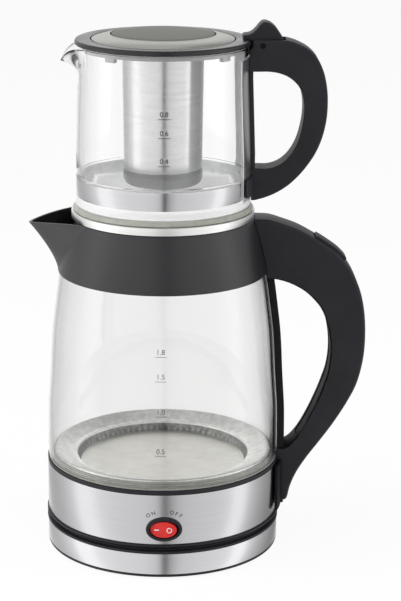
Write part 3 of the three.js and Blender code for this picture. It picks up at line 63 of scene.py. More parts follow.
def smooth_line(points, steps):
    """A smooth line through listed points, evenly parted, with its corners rounded off."""
    first = Vector(points[0]) * 2 - Vector(points[1])
    last = Vector(points[-1]) * 2 - Vector(points[-2])
    knots = [first] + [Vector(p) for p in points] + [last]
    fine = []
    for p0, p1, p2, p3 in zip(knots, knots[1:], knots[2:], knots[3:]):
        t1 = (p1 - p0).length ** 0.5
        t2 = t1 + (p2 - p1).length ** 0.5
        t3 = t2 + (p3 - p2).length ** 0.5
        for i in range(24):
            t = t1 + (t2 - t1) * i / 24
            a1 = p0 * ((t1 - t) / t1) + p1 * (t / t1)
            a2 = p1 * ((t2 - t) / (t2 - t1)) + p2 * ((t - t1) / (t2 - t1))
            a3 = p2 * ((t3 - t) / (t3 - t2)) + p3 * ((t - t2) / (t3 - t2))
            b1 = a1 * ((t2 - t) / t2) + a2 * (t / t2)
            b2 = a2 * ((t3 - t) / (t3 - t1)) + a3 * ((t - t1) / (t3 - t1))
            fine.append(b1 * ((t2 - t) / (t2 - t1)) + b2 * ((t - t1) / (t2 - t1)))
    fine.append(knots[-2])
    reach = [0.0]
    for a, b in zip(fine, fine[1:]):
        reach.append(reach[-1] + (b - a).length)
    line = []
    spot = 0
    for i in range(steps + 1):
        goal = reach[-1] * i / steps
        while spot < len(reach) - 2 and reach[spot + 1] < goal:
            spot += 1
        share = (goal - reach[spot]) / max(reach[spot + 1] - reach[spot], CLOSE)
        line.append(tuple(fine[spot].lerp(fine[spot + 1], min(share, 1))))
    return line


def moved_sideways(line, distance):
    """The same line moved to its left by a distance."""
    out = []
    for i, (x, z) in enumerate(line):
        x0, z0 = line[max(i - 1, 0)]
        x1, z1 = line[min(i + 1, len(line) - 1)]
        along = Vector((x1 - x0, z1 - z0)).normalized()
        out.append((x - along.y * distance, z + along.x * distance))
    return out


def stretch(line, start, end):
    """The part of a line between two shares of its length."""
    last = len(line) - 1
    return [p for i, p in enumerate(line) if start * last <= i <= end * last]


def in_box(shares, left, right, bottom, top):
    return [(left + x * (right - left), bottom + z * (top - bottom)) for x, z in shares]


def radius_at(line, height):
    for (r0, z0), (r1, z1) in zip(line, line[1:]):
        if z0 <= height <= z1:
            return r0 + (r1 - r0) * (height - z0) / (z1 - z0)
    return line[0][0] if height < line[0][1] else line[-1][0]


def ring_profile(inner, outer, bottom, top):
    return [(inner, bottom), (outer, bottom), (outer, top), (inner, top)]


def ribbon(line, left, right):
    """The outline between a line moved to its left and the same line moved less far."""
    return moved_sideways(line, left) + moved_sideways(line, right)[::-1]


def ended(line, x):
    """A line carried level from both its ends to one upright."""
    return [(x, line[0][1])] + line + [(x, line[-1][1])]


def on_circle(radius, degrees):
    turn = math.radians(degrees)
    return radius * math.cos(turn), radius * math.sin(turn)


def about_axis(vertex):
    """A vertex's place in millimetres about the axis, its radius, and its turn from the spout."""
    x = (vertex.co.x - AXIS_X) / MM
    y = vertex.co.y / MM
    return x, y, vertex.co.z / MM, math.hypot(x, y), math.atan2(y, -x)


# Modelling


def nothing_selected():
    active = bpy.context.view_layer.objects.active
    if active and active.mode != "OBJECT":
        bpy.ops.object.mode_set(mode="OBJECT")
    bpy.ops.object.select_all(action="DESELECT")


def only(piece):
    nothing_selected()
    bpy.context.view_layer.objects.active = piece
    piece.select_set(True)


def drawn_line(points, closed):
    """Extrudes one vertex along points, closes the line if asked and keeps it selected in edit mode."""
    nothing_selected()
    bpy.ops.mesh.primitive_plane_add(size=MM, location=points[0])
    bpy.ops.object.mode_set(mode="EDIT")
    bpy.ops.mesh.select_all(action="SELECT")
    bpy.ops.mesh.merge(type="CENTER")
    stops = points + [points[0]] if closed else points
    for here, there in zip(stops, stops[1:]):
        step = Vector(there) - Vector(here)
        bpy.ops.mesh.extrude_region_move(TRANSFORM_OT_translate={"value": step})
    bpy.ops.mesh.select_all(action="SELECT")
    bpy.ops.mesh.remove_doubles(threshold=CLOSE)


def placed_piece(name):
    """Ends the edit and puts the piece's place into its mesh."""
    bpy.ops.object.mode_set(mode="OBJECT")
    piece = bpy.context.view_layer.objects.active
    only(piece)
    bpy.ops.object.transform_apply(location=True, rotation=True, scale=True)
    piece.name = name
    piece.data.name = name
    return piece


def apply_modifier(piece, kind, settings):
    only(piece)
    modifier = piece.modifiers.new(kind.title(), kind)
    for key, value in settings.items():
        setattr(modifier, key, value)
    bpy.ops.object.modifier_apply(modifier=modifier.name)


def rounded_edges(piece, width, segments=3, angle=35):
    settings = {
        "width": width * MM,
        "segments": segments,
        "limit_method": "ANGLE",
        "angle_limit": math.radians(angle),
        "use_clamp_overlap": True,
    }
    apply_modifier(piece, "BEVEL", settings)
    return piece


def combined(piece, operation, others):
    for other in others:
        apply_modifier(piece, "BOOLEAN", {"operation": operation, "object": other, "solver": "EXACT"})
        bpy.data.objects.remove(other)
    return piece


def cut_away(piece, *cutters):
    return combined(piece, "DIFFERENCE", cutters)


def kept_inside(piece, cutter):
    return combined(piece, "INTERSECT", [cutter])


def joined(piece, *others):
    return combined(piece, "UNION", others)


def turned_piece(name, profile, rounding=0.0, steps=128, centre=(0, 0), angle=FULL_TURN, start=0.0):
    """A profile spun about an upright axis, as on a lathe. One that ends on the axis stays open there."""
    on_axis = abs(profile[0][0]) < CLOSE and abs(profile[-1][0]) < CLOSE
    cx, cy = centre
    points = [metres(cx + r * math.cos(start), cy + r * math.sin(start), z) for r, z in profile]
    drawn_line(points, not on_axis)
    if abs(angle - FULL_TURN) > CLOSE:
        bpy.ops.mesh.edge_face_add()
    bpy.ops.mesh.spin(steps=steps, angle=-angle, center=metres(cx, cy, 0), axis=(0, 0, 1))
    bpy.ops.mesh.select_all(action="SELECT")
    bpy.ops.mesh.remove_doubles(threshold=CLOSE)
    bpy.ops.mesh.normals_make_consistent(inside=False)
    piece = placed_piece(name)
    if rounding:
        rounded_edges(piece, rounding, 2)
    return piece


def sector_piece(name, profile, rounding, steps, half_degrees):
    """A part of a ring, as far to each side of the handles."""
    half = math.radians(half_degrees)
    return turned_piece(name, profile, rounding, steps, (0, 0), 2 * half, -half)


def extruded(name, points, step, rounding, segments=3):
    """A closed outline filled and extruded by one step, with rounded edges."""
    drawn_line(points, True)
    bpy.ops.mesh.edge_face_add()
    bpy.ops.mesh.extrude_region_move(TRANSFORM_OT_translate={"value": step})
    bpy.ops.mesh.select_all(action="SELECT")
    bpy.ops.mesh.normals_make_consistent(inside=False)
    piece = placed_piece(name)
    if rounding:
        rounded_edges(piece, rounding, segments)
    return piece


def side_piece(name, outline, width, rounding=0.0, segments=4):
    """A side outline extruded across."""
    points = [metres(x, -width / 2, z) for x, z in outline]
    return extruded(name, points, (0, width * MM, 0), rounding, segments)


def plan_piece(name, outline, bottom, top, rounding=0.0):
    """A plan outline extruded upwards."""
    points = [metres(x, y, bottom) for x, y in outline]
    return extruded(name, points, (0, 0, (top - bottom) * MM), rounding)


def plan_box(name, near_corner, far_corner, bottom, top, rounding=0.0):
    """A block between two corners of its plan."""
    (x0, y0), (x1, y1) = near_corner, far_corner
    return plan_piece(name, [(x0, y0), (x1, y0), (x1, y1), (x0, y1)], bottom, top, rounding)


def cross_rod(name, radius, length, x, z, sides=48):
    nothing_selected()
    bpy.ops.mesh.primitive_cylinder_add(
        vertices=sides,
        radius=radius * MM,
        depth=length * MM,
        location=metres(x, 0, z),
        rotation=(math.pi / 2, 0, 0),
    )
    return placed_piece(name)


def oval_rod(name, length, height, near, far, z, sides=72):
    """An oval block that lies across the front, from near to far along Y."""
    nothing_selected()
    bpy.ops.mesh.primitive_cylinder_add(
        vertices=sides,
        radius=0.5,
        depth=1,
        location=metres(0, (near + far) / 2, z),
        rotation=(math.pi / 2, 0, 0),
    )
    piece = bpy.context.view_layer.objects.active
    piece.scale = (length * MM, height * MM, (far - near) * MM)
    return placed_piece(name)


def turn_about(place, angle):
    """A turn about an upright axis through a place."""
    return Matrix.Translation(place) @ Matrix.Rotation(angle, 4, "Z") @ Matrix.Translation(-place)


def dressed(piece, body, material, slot, *nodes, angle=32):
    """Gives a finished piece its shading, material, body, and the CAD nodes that it stands for."""
    only(piece)
    bpy.ops.object.shade_smooth_by_angle(angle=math.radians(angle))
    piece.data.materials.clear()
    piece.data.materials.append(material)
    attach(piece, body)
    if nodes:
        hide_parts(*nodes)
    return piece


def refinished(name, material):
    """Gives a CAD node that stays in view a better material."""
    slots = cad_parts[name].data.materials
    slots.clear()
    slots.append(material)


def lined(piece, material, wanted):
    """Gives another material to the faces wanted by their middle, in millimetres, and their normal."""
    piece.data.materials.append(material)
    last = len(piece.data.materials) - 1
    for face in piece.data.polygons:
        middle = (face.center - metres(0, 0, 0)) / MM
        if wanted(middle, face.normal):
            face.material_index = last
    return piece


def faces_axis(middle, normal):
    return middle.x * normal.x + middle.y * normal.y < -0.5 * math.hypot(middle.x, middle.y)


# Materials


def colour(code):
    """An sRGB hex colour as linear values."""
    parts = [int(code[i : i + 2], 16) / 255 for i in (1, 3, 5)]
    return tuple(c / 12.92 if c <= 0.04045 else ((c + 0.055) / 1.055) ** 2.4 for c in parts) + (1.0,)


def node(tree, kind, settings=None, inputs=None):
    """Adds a node. An input is a value, or a pair of a node and the name of its output."""
    made = tree.nodes.new(kind)
    for key, value in (settings or {}).items():
        setattr(made, key, value)
    for key, value in (inputs or {}).items():
        if isinstance(value, tuple) and isinstance(value[0], bpy.types.Node):
            tree.links.new(value[0].outputs[value[1]], made.inputs[key])
        else:
            made.inputs[key].default_value = value
    return made


def new_material(name):
    material = bpy.data.materials.new(name)
    material.use_nodes = True
    tree = material.node_tree
    tree.nodes.clear()
    output = tree.nodes.new("ShaderNodeOutputMaterial")
    return material, tree, output


def ramp(tree, source, stops):
    """A colour ramp from a list of position and colour."""
    made = node(tree, "ShaderNodeValToRGB", None, {"Fac": source})
    elements = made.color_ramp.elements
    while len(elements) < len(stops):
        elements.new(0.5)
    for element, (position, shade) in zip(elements, stops):
        element.position = position
        element.color = shade
    return made


def place_about_axis(tree):
    """Object coordinates with the kettle's axis as their middle."""
    coords = node(tree, "ShaderNodeTexCoord")
    return node(
        tree,
        "ShaderNodeMapping",
        {"vector_type": "POINT"},
        {"Vector": (coords, "Object"), "Location": (-AXIS_X, 0, 0)},
    )


def noise(tree, place, size_mm, detail, roughness=0.5):
    """Cloudy noise whose blobs are about this many millimetres wide."""
    inputs = {"Vector": place, "Scale": 1 / (size_mm * MM), "Detail": detail, "Roughness": roughness}
    return node(tree, "ShaderNodeTexNoise", None, inputs)


def maths(tree, operation, *values):
    return node(tree, "ShaderNodeMath", {"operation": operation}, dict(enumerate(values)))


def spread(tree, source, low, high, least, most):
    """Takes a value between low and high to one between least and most."""
    inputs = {"Value": source, "From Min": low, "From Max": high, "To Min": least, "To Max": most}
    return node(tree, "ShaderNodeMapRange", None, inputs)


def bumps(tree, height, strength, depth_mm):
    inputs = {"Height": height, "Strength": strength, "Distance": depth_mm * MM}
    return node(tree, "ShaderNodeBump", None, inputs)


def mixed_shaders(tree, share, first, second):
    return node(tree, "ShaderNodeMixShader", None, {0: share, 1: first, 2: second})


def skinned(material, tree, output, inputs):
    """Ends a material with one Principled shader."""
    skin = node(tree, "ShaderNodeBsdfPrincipled", None, inputs)
    tree.links.new(skin.outputs["BSDF"], output.inputs["Surface"])
    return material


def steel_inputs(tint, roughness, bump):
    return {
        "Base Color": (tint, "Color"),
        "Metallic": 1.0,
        "Roughness": roughness,
        "Normal": (bump, "Normal"),
    }


def moulded_plastic(name, shade, roughness, grain_mm=0.5, grain=0.06, shine=0.3):
    """ABS from a fine spark-eroded mould: an even satin skin whose faint grain breaks up the gloss."""
    material, tree, output = new_material(name)
    coords = node(tree, "ShaderNodeTexCoord")
    fine = noise(tree, (coords, "Object"), grain_mm, 2.0)
    broad = noise(tree, (coords, "Object"), 24, 2.0)
    gloss = spread(tree, (broad, "Fac"), 0.3, 0.7, roughness - 0.04, roughness + 0.05)
    tint = ramp(tree, (broad, "Fac"), [(0.3, colour(shade[0])), (0.7, colour(shade[1]))])
    bump = bumps(tree, (fine, "Fac"), grain, 0.1)
    inputs = {
        "Base Color": (tint, "Color"),
        "Roughness": (gloss, "Result"),
        "Normal": (bump, "Normal"),
        "IOR": 1.5,
        "Specular IOR Level": shine,
    }
    return skinned(material, tree, output, inputs)


def brushed_steel(name, shades, roughness, around=True, line_mm=0.35, strength=0.25, edge="#ffffff"):
    """Stainless steel with fine brushing that streaks the gloss: round the axis, or straight along X."""
    material, tree, output = new_material(name)
    place = place_about_axis(tree)
    split = node(tree, "ShaderNodeSeparateXYZ", None, {"Vector": (place, "Vector")})
    if around:
        turn = maths(tree, "ARCTAN2", (split, "Y"), (split, "X"))
        along = maths(tree, "MULTIPLY", (turn, "Value"), 1.2)
        across = maths(tree, "DIVIDE", (split, "Z"), line_mm * MM)
    else:
        along = maths(tree, "DIVIDE", (split, "X"), 40 * MM)
        across = maths(tree, "DIVIDE", (split, "Y"), line_mm * MM)
    lines = node(tree, "ShaderNodeCombineXYZ", None, {"X": (along, "Value"), "Y": (across, "Value")})
    inputs = {"Vector": (lines, "Vector"), "Scale": 1.0, "Detail": 3.0}
    streaks = node(tree, "ShaderNodeTexNoise", None, inputs)
    tint = ramp(tree, (streaks, "Fac"), [(0.25, colour(shades[0])), (0.75, colour(shades[1]))])
    gloss = spread(tree, (streaks, "Fac"), 0.25, 0.75, roughness - 0.02, roughness + 0.03)
    bump = bumps(tree, (streaks, "Fac"), strength, 0.02)
    inputs = steel_inputs(tint, (gloss, "Result"), bump)
    inputs["Specular Tint"] = colour(edge)
    return skinned(material, tree, output, inputs)


def clear_glass(name, shade):
    """Borosilicate glass, blown and fire-polished: clear, with light drawn grey at its edges."""
    material, tree, output = new_material(name)
    coords = node(tree, "ShaderNodeTexCoord")
    waves = noise(tree, (coords, "Object"), 30, 1.0)
    bump = bumps(tree, (waves, "Fac"), 0.04, 0.2)
    inputs = {
        "Base Color": colour(shade),
        "Roughness": 0.0,
        "IOR": 1.47,
        "Transmission Weight": 1.0,
        "Normal": (bump, "Normal"),
    }
    skin = node(tree, "ShaderNodeBsdfPrincipled", None, inputs)
    through = node(tree, "ShaderNodeBsdfTransparent", None, {"Color": colour("#f4f6f6")})
    path = node(tree, "ShaderNodeLightPath")
    mix = mixed_shaders(tree, (path, "Is Shadow Ray"), (skin, "BSDF"), (through, "BSDF"))
    tree.links.new(mix.outputs["Shader"], output.inputs["Surface"])
    return material


def clouded_plastic(name, shade, transmission, roughness, glow=0.0):
    """Silicone or polypropylene: milky. Also the teapot's foot and band lining, painted milky white with a
    faint painted glow.
    """
    material, tree, output = new_material(name)
    coords = node(tree, "ShaderNodeTexCoord")
    clouds = noise(tree, (coords, "Object"), 6, 3.0)
    tint = ramp(tree, (clouds, "Fac"), [(0.3, colour(shade[0])), (0.7, colour(shade[1]))])
    bump = bumps(tree, (clouds, "Fac"), 0.1, 0.1)
    inputs = {
        "Base Color": (tint, "Color"),
        "Roughness": roughness,
        "IOR": 1.42,
        "Transmission Weight": transmission,
        "Emission Color": (1, 1, 1, 1),
        "Emission Strength": glow,
        "Normal": (bump, "Normal"),
    }
    return skinned(material, tree, output, inputs)


def pressed_steel(name, shades, roughness, cloud_mm, strength):
    """Deep-drawn steel sheet with the soft mottles that water and heat leave on it."""
    material, tree, output = new_material(name)
    coords = node(tree, "ShaderNodeTexCoord")
    clouds = noise(tree, (coords, "Object"), cloud_mm, 4.0, 0.6)
    tint = ramp(tree, (clouds, "Fac"), [(0.35, colour(shades[0])), (0.65, colour(shades[1]))])
    bump = bumps(tree, (clouds, "Fac"), strength, 0.3)
    return skinned(material, tree, output, steel_inputs(tint, roughness, bump))


def beaded_wall_painted_shade(name, shades, roughness, count):
    """Steel wall with small dimples pressed round its foot, which fade into mottles above; its colour follows
    them as painted shade.
    """
    material, tree, output = new_material(name)
    place = place_about_axis(tree)
    split = node(tree, "ShaderNodeSeparateXYZ", None, {"Vector": (place, "Vector")})
    turn = maths(tree, "ARCTAN2", (split, "Y"), (split, "X"))
    wave = maths(tree, "MULTIPLY", (turn, "Value"), float(count))
    beads = maths(tree, "SINE", (wave, "Value"))
    rise = spread(tree, (split, "Z"), 60.0 * MM, 63.4 * MM, 0.2, 0.02)
    low_beads = maths(tree, "MULTIPLY", (beads, "Value"), (rise, "Result"))
    clouds = noise(tree, (place, "Vector"), 3, 3.0)
    height = maths(tree, "ADD", (low_beads, "Value"), (clouds, "Fac"))
    # Painted shade: the colour darkens and lightens with the dimples and mottles.
    tint = ramp(tree, (height, "Value"), [(0.3, colour(shades[0])), (0.8, colour(shades[1]))])
    bump = bumps(tree, (height, "Value"), 0.4, 0.6)
    return skinned(material, tree, output, steel_inputs(tint, roughness, bump))


# Mouldings are a warm near-black, glossier on collar and lid, and deeper black as painted shade in hollows.
# Steels are cold and even on the bands, pale in the neck, greyer on the lid and mottled on the heater, its
# well wall painted darker as shade. Glass is clear, its foot painted white with a faint painted glow, the
# seal grey; the band's lining is painted light as a reflection.
black_abs = moulded_plastic("satin_black_abs", ("#1f1e23", "#252429"), 0.46, shine=0.25)
collar_abs = moulded_plastic("collar_black_abs", ("#17171a", "#1d1d20"), 0.32, shine=0.65)
lid_abs = moulded_plastic("lid_black_abs", ("#161618", "#1c1c1e"), 0.26, shine=0.5)
# A deeper near-black: real black parts in the spout, along the handle's hole and under the lid, darkened as
# painted shade, and painted shade on the collar's inside, the handle's faces round its hole and the hinge
# pin.
black_and_painted_shade_abs = moulded_plastic("black_abs_and_painted_recess_shade", ("#08080a", "#0c0c0e"), 0.55, shine=0.15)
strap_abs = moulded_plastic("back_plate_abs", ("#18171b", "#1e1d21"), 0.6, shine=0.1)
# Light grey for the kettle back plate's faces that lie against the glass.
glass_side_grey = moulded_plastic("strap_glass_side_grey", ("#cfcfcf", "#dcdcdc"), 0.6)
rubber = moulded_plastic("foot_rubber", ("#141415", "#1b1b1c"), 0.75, 0.8, 0.2)
print_ink = moulded_plastic("level_print", ("#58585a", "#666668"), 0.6)
black_ink = moulded_plastic("switch_print", ("#121214", "#1a1a1c"), 0.6)
red_pc = moulded_plastic("rocker_red_polycarbonate", ("#d22a28", "#da332f"), 0.22, 0.8, 0.02)
white_print = moulded_plastic("rocker_white_print", ("#e8d8d6", "#f2e6e4"), 0.5)
sleeve_steel = brushed_steel("brushed_sleeve_steel", ("#c9c9cb", "#cfcfd1"), 0.19, True, 0.5, 0.06)
ring_steel = brushed_steel("brushed_base_ring_steel", ("#d4d4d6", "#dadadc"), 0.17, True, 0.5, 0.06)
band_steel = brushed_steel("brushed_band_steel", ("#d0d0d2", "#d6d6d8"), 0.15, True, 0.5, 0.04)
neck_steel = brushed_steel("polished_neck_steel", ("#f0f0ee", "#f6f6f4"), 0.34, True, 0.6, 0.06)
lid_steel = brushed_steel("lid_plate_steel", ("#b2b2ac", "#bebeb8"), 0.26, False, 0.6, 0.1, "#e6e6e6")
disc_shades = ("#72746b", "#8d8f86")
disc_aluminium = brushed_steel("lid_disc_aluminium", disc_shades, 0.34, False, 1.2, 0.15, "#cbcbcb")
plain_steel = brushed_steel("turned_steel", ("#8f8f92", "#a2a2a4"), 0.3)
brass = brushed_steel("contact_brass", ("#b08d4a", "#bd9a58"), 0.3)
infuser_steel = brushed_steel("rolled_infuser_steel", ("#dedede", "#e8e8e8"), 0.22, True, 2.5, 0.05)
cup_steel = brushed_steel("infuser_cup_steel", ("#9c9c9c", "#a8a8a8"), 0.24, True, 0.8, 0.05)
rim_steel = pressed_steel("heater_rim_steel", ("#dededa", "#fafaf6"), 0.34, 5.0, 0.4)
floor_steel = pressed_steel("heater_floor_steel", ("#e6e5dc", "#f0efe8"), 0.42, 9.0, 0.1)
# The well wall is painted darker than the rim and floor of the same pressed sheet, as shade in the well.
well_steel_painted_shade = beaded_wall_painted_shade("heater_well_steel_painted_shade", ("#62625f", "#a2a29e"), 0.34, 82)
# Painted reflection: light grey with a faint painted glow, put on the steel's faces that lie against the
# glass.
band_lining_painted_light = clouded_plastic("steel_band_lining_painted_light", ("#d8d8d8", "#f8f8f8"), 0.0, 0.35, 0.12)
strap_steel = brushed_steel("pot_strap_steel", ("#ececec", "#f4f4f4"), 0.3, True, 0.5, 0.05)
kettle_glass_clear = clear_glass("pressed_kettle_glass", "#f7f7f7")
pot_glass_clear = clear_glass("blown_teapot_glass", "#fefefe")
# The pot's foot is painted milky white with a faint painted glow, standing in for the bright light seen
# through its clear glass.
pot_foot_painted_light = clouded_plastic("teapot_foot_painted_white_glow", ("#fafafa", "#fefefe"), 0.1, 0.4, 0.15)
silicone = clouded_plastic("translucent_silicone", ("#a9aaa0", "#bbbcb4"), 0.3, 0.3)
milky = clouded_plastic("milky_polypropylene", ("#c2c3c2", "#cfd0cf"), 0.3, 0.3)
inner_white = clouded_plastic("control_unit_nylon", ("#d6d4cc", "#e2e0d8"), 0.0, 0.5)


# Power base

underside = turned_piece(
    "base_underside_moulding",
    [
        (0, 2.2), (79.2, 2.2), (79.2, 1.2), (82.2, 1.2), (82.2, 3.0), (78.7, 3.0), (78.7, 7.7),
        (76.5, 7.7), (76.5, 4.4), (18, 4.4), (18, 7.7), (15, 7.7), (15, 4.4), (0, 4.4),
    ],
    0.3,
    160,
)
FOOT_TURNS = [-126, -6, 114]
FOOT_CIRCLE, SCREW_CIRCLE = 74.1, 50
SCREW_OFFSET = 60
SCREW_SEAT = [(0, -2), (3.5, -2), (3.5, 3.3), (1.8, 3.3), (1.8, 9), (0, 9)]
SCREW = [(0, 1.8), (2.6, 1.8), (3.2, 2.3), (3.2, 3.0), (1.5, 3.0), (1.5, 11), (0, 11)]
for turn in FOOT_TURNS:
    recess = turned_piece("recess", ring_profile(0, 6.7, -2, 3.2), 0, 48, on_circle(FOOT_CIRCLE, turn))
    screw_seat = turned_piece("screw_seat", SCREW_SEAT, 0, 32, on_circle(SCREW_CIRCLE, turn + SCREW_OFFSET))
    cut_away(underside, recess, screw_seat)
dressed(underside, "power_base", black_abs, "black_plastic", "base_underside")

for i, turn in enumerate(FOOT_TURNS):
    foot = turned_piece(
        "foot_%d" % (i + 1), ring_profile(0, 6.4, 0, 2.9), 0.7, 48, on_circle(FOOT_CIRCLE, turn)
    )
    dressed(foot, "power_base", rubber, "black_rubber", "base_foot_%d" % (i + 1))
    x, y = on_circle(SCREW_CIRCLE, turn + SCREW_OFFSET)
    screw = turned_piece("screw_%d" % (i + 1), SCREW, 0, 32, (x, y))
    for long, short in ((2, 0.4), (0.4, 2)):
        cut_away(screw, plan_box("slot", (x - long, y - short), (x + long, y + short), 1, 2.5))
    dressed(screw, "power_base", plain_steel, "plain_steel", "base_screw_%d" % (i + 1))


def gland_block(name, width, low, top, near, far, rounding):
    return plan_box(name, (-width / 2, near), (width / 2, far), low, top, rounding)


band = turned_piece("base_steel_ring", ring_profile(81.7, 82.5, 3.3, 18.2), 0.15, 192)
cut_away(band, gland_block("gap", 12.6, 7.7, 15.3, 73, 90, 0))
dressed(band, "power_base", ring_steel, "brushed_steel", "base_ring")

cover = turned_piece(
    "base_cover_moulding",
    [
        (14.3, 18.9), (79, 18.9), (79, 3.3), (81.4, 3.3), (81.4, 18.5), (83, 18.5),
        (83, 20.1), (79.5, 20.3), (79.5, 21.3), (14.3, 21.3),
    ],
    0.25,
    192,
)
cut_away(cover, gland_block("gap", 12.6, 7.7, 15.3, 70, 90, 0))
dressed(cover, "power_base", black_abs, "black_plastic", "base_cover")

connector = turned_piece(
    "base_connector_boss",
    [
        (0, 8), (18, 8), (18, 18.6), (14, 18.6), (14, 33.3), (11.4, 33.3), (11.4, 23.3), (9.6, 23.3),
        (9.6, 33.3), (7.4, 33.3), (7.4, 23.3), (5.6, 23.3), (5.6, 33.3), (2.5, 33.3), (2.5, 22.3),
        (0, 22.3),
    ],
    0.35,
    64,
)
dressed(connector, "power_base", black_abs, "black_plastic", "base_connector")

gland = gland_block("cord_outlet_bush", 12, 8, 15, 73, 85, 1.2)
joined(gland, gland_block("flange", 15.2, 8, 16.2, 73, 74.6, 0.4))
bore = cross_rod("bore", 3, 40, 0, 11.5)
bore.data.transform(Matrix.Translation((0, 80 * MM, 0)))
cut_away(gland, bore)
dressed(gland, "power_base", rubber, "black_rubber", "cord_gland")


# Kettle socket

socket = turned_piece(
    "socket_shell",
    [
        (0, 34), (14.5, 34), (14.5, 21.6), (18.8, 21.6), (18.8, 24.1), (22.2, 24.1), (22.2, 26.1),
        (18.8, 26.1), (18.8, 38), (0, 38),
    ],
    0.3,
    64,
)
dressed(socket, "socket", black_abs, "black_plastic", "kettle_socket")
earth_pin = turned_piece("earth_pin", [(0, 24.3), (1.2, 24.3), (2, 25.4), (2, 33.7), (0, 33.7)], 0.2, 32)
dressed(earth_pin, "socket", brass, "brass_contact", "socket_earth_pin")
for name, radius, covered in (
    ("inner_contact_ring", 6.5, "socket_inner_contact"),
    ("outer_contact_ring", 10.5, "socket_outer_contact"),
):
    ring = turned_piece(name, ring_profile(radius - 0.4, radius + 0.4, 24.3, 33.7), 0.15, 64)
    dressed(ring, "socket", brass, "brass_contact", covered)


# Kettle housing

bottom_cover = turned_piece(
    "kettle_bottom_moulding",
    [
        (19.1, 21.6), (79.5, 21.6), (79.5, 23.5), (83, 23.6), (83, 25), (78.9, 25), (78.9, 28.4),
        (76.7, 28.4), (76.7, 23.8), (19.1, 23.8),
    ],
    0.25,
    192,
)
dressed(bottom_cover, "kettle", black_abs, "black_plastic", "kettle_bottom_cover")

ROCKER_HEIGHT = 36.6


def switch_hole():
    return oval_rod("hole", 23.2, 15.7, -90, -70, ROCKER_HEIGHT)


sleeve = turned_piece("housing_steel_sleeve", ring_profile(81.5, 82.2, 25.3, 61.1), 0.12, 192)
cut_away(sleeve, switch_hole())
dressed(sleeve, "kettle", sleeve_steel, "brushed_steel", "housing_sleeve")

housing = turned_piece(
    "housing_moulding",
    [
        (79.2, 25.3), (81.2, 25.3), (81.2, 61.4), (82.2, 61.4), (82.2, 64.1), (76.8, 64.1),
        (76.8, 61.4), (79.2, 59.4),
    ],
    0.25,
    192,
)
cut_away(housing, switch_hole())
dressed(housing, "kettle", black_abs, "black_plastic", "kettle_base_housing")

gasket = turned_piece(
    "glass_seal",
    [
        (76.3, 64.4), (81.3, 64.4), (81.3, 65.2), (78.7, 65.2), (78.7, 66.3), (78.2, 66.4),
        (78.2, 66.8), (78.7, 66.9), (78.7, 67.9), (78.2, 68.0), (78.2, 68.4), (78.7, 68.5),
        (78.7, 69.2), (77.9, 69.2), (77.9, 65.2), (76.3, 65.2),
    ],
    0,
    160,
)
dressed(gasket, "kettle", silicone, "grey_silicone", "glass_gasket")

plate = turned_piece(
    "heater_floor",
    [
        (77.6, 65.6), (77.6, 66.2), (77.0, 66.5), (77.0, 67.0), (77.6, 67.3), (77.6, 68.2),
        (77.1, 68.5), (77.1, 68.9), (77.4, 69.3), (76.9, 70.2), (75.6, 70.5), (74, 69.9), (64.4, 66.1),
        (63.2, 65.8), (62.2, 65.9), (61.2, 65.5), (60.7, 64.6), (59.2, 60.6), (58.4, 59.6),
        (57.0, 59.4), (0, 59.4), (0, 57.2), (57, 57.2), (58.8, 57.6), (60, 59), (62, 63.6),
        (64.4, 65.1), (74.4, 69), (76.1, 69.2), (76.6, 68.4), (76.6, 65.6),
    ],
    0,
    192,
)
dressed(plate, "kettle", rim_steel, "heater_steel", "heater_plate")
lined(plate, floor_steel, lambda middle, normal: middle.z < 59.5)
# The well wall between floor and rim takes the painted shade.
lined(plate, well_steel_painted_shade, lambda middle, normal: 59.55 < middle.z < 64.6 and middle.xy.length < 61)

spreader = turned_piece("spreader_disc", ring_profile(0, 50, 53.9, 56.9), 0.4, 96)
dressed(spreader, "kettle", plain_steel, "aluminium", "heat_spreader")
refinished("heating_element", plain_steel)
refinished("control_unit", inner_white)

bezel = oval_rod("switch_bezel", 25, 17.5, -83.8, -78, ROCKER_HEIGHT)
rounded_edges(bezel, 1.1, 4)
cut_away(bezel, turned_piece("wall", ring_profile(0, 82.5, 20, 60), 0, 192))
joined(bezel, oval_rod("barrel", 22.6, 15.1, -83.5, -63.8, ROCKER_HEIGHT))
cut_away(bezel, oval_rod("pocket", 20.4, 12.9, -90, -74.8, ROCKER_HEIGHT))
dressed(bezel, "kettle", black_abs, "black_plastic", "rocker_switch_housing")

TILT = math.radians(8)
PIVOT = -78.8
rocker = plan_piece(
    "rocker_button",
    [
        (-9.3, -83.8), (-4.5, -84.3), (0, -84.1), (4.5, -84.3), (9.3, -83.8), (9.3, -80.1),
        (2.6, -76.2), (-2.6, -76.2), (-9.3, -80.1),
    ],
    ROCKER_HEIGHT - 5.7,
    ROCKER_HEIGHT + 5.7,
)
kept_inside(rocker, oval_rod("face", 18.6, 11.4, -90, -70, ROCKER_HEIGHT))
rounded_edges(rocker, 0.7, 3)
tilted = turn_about(metres(0, PIVOT, 0), -TILT)
rocker.data.transform(tilted)
dressed(rocker, "keep_warm_rocker", red_pc, "red_plastic", "keep_warm_rocker")


# Kettle glass and collar

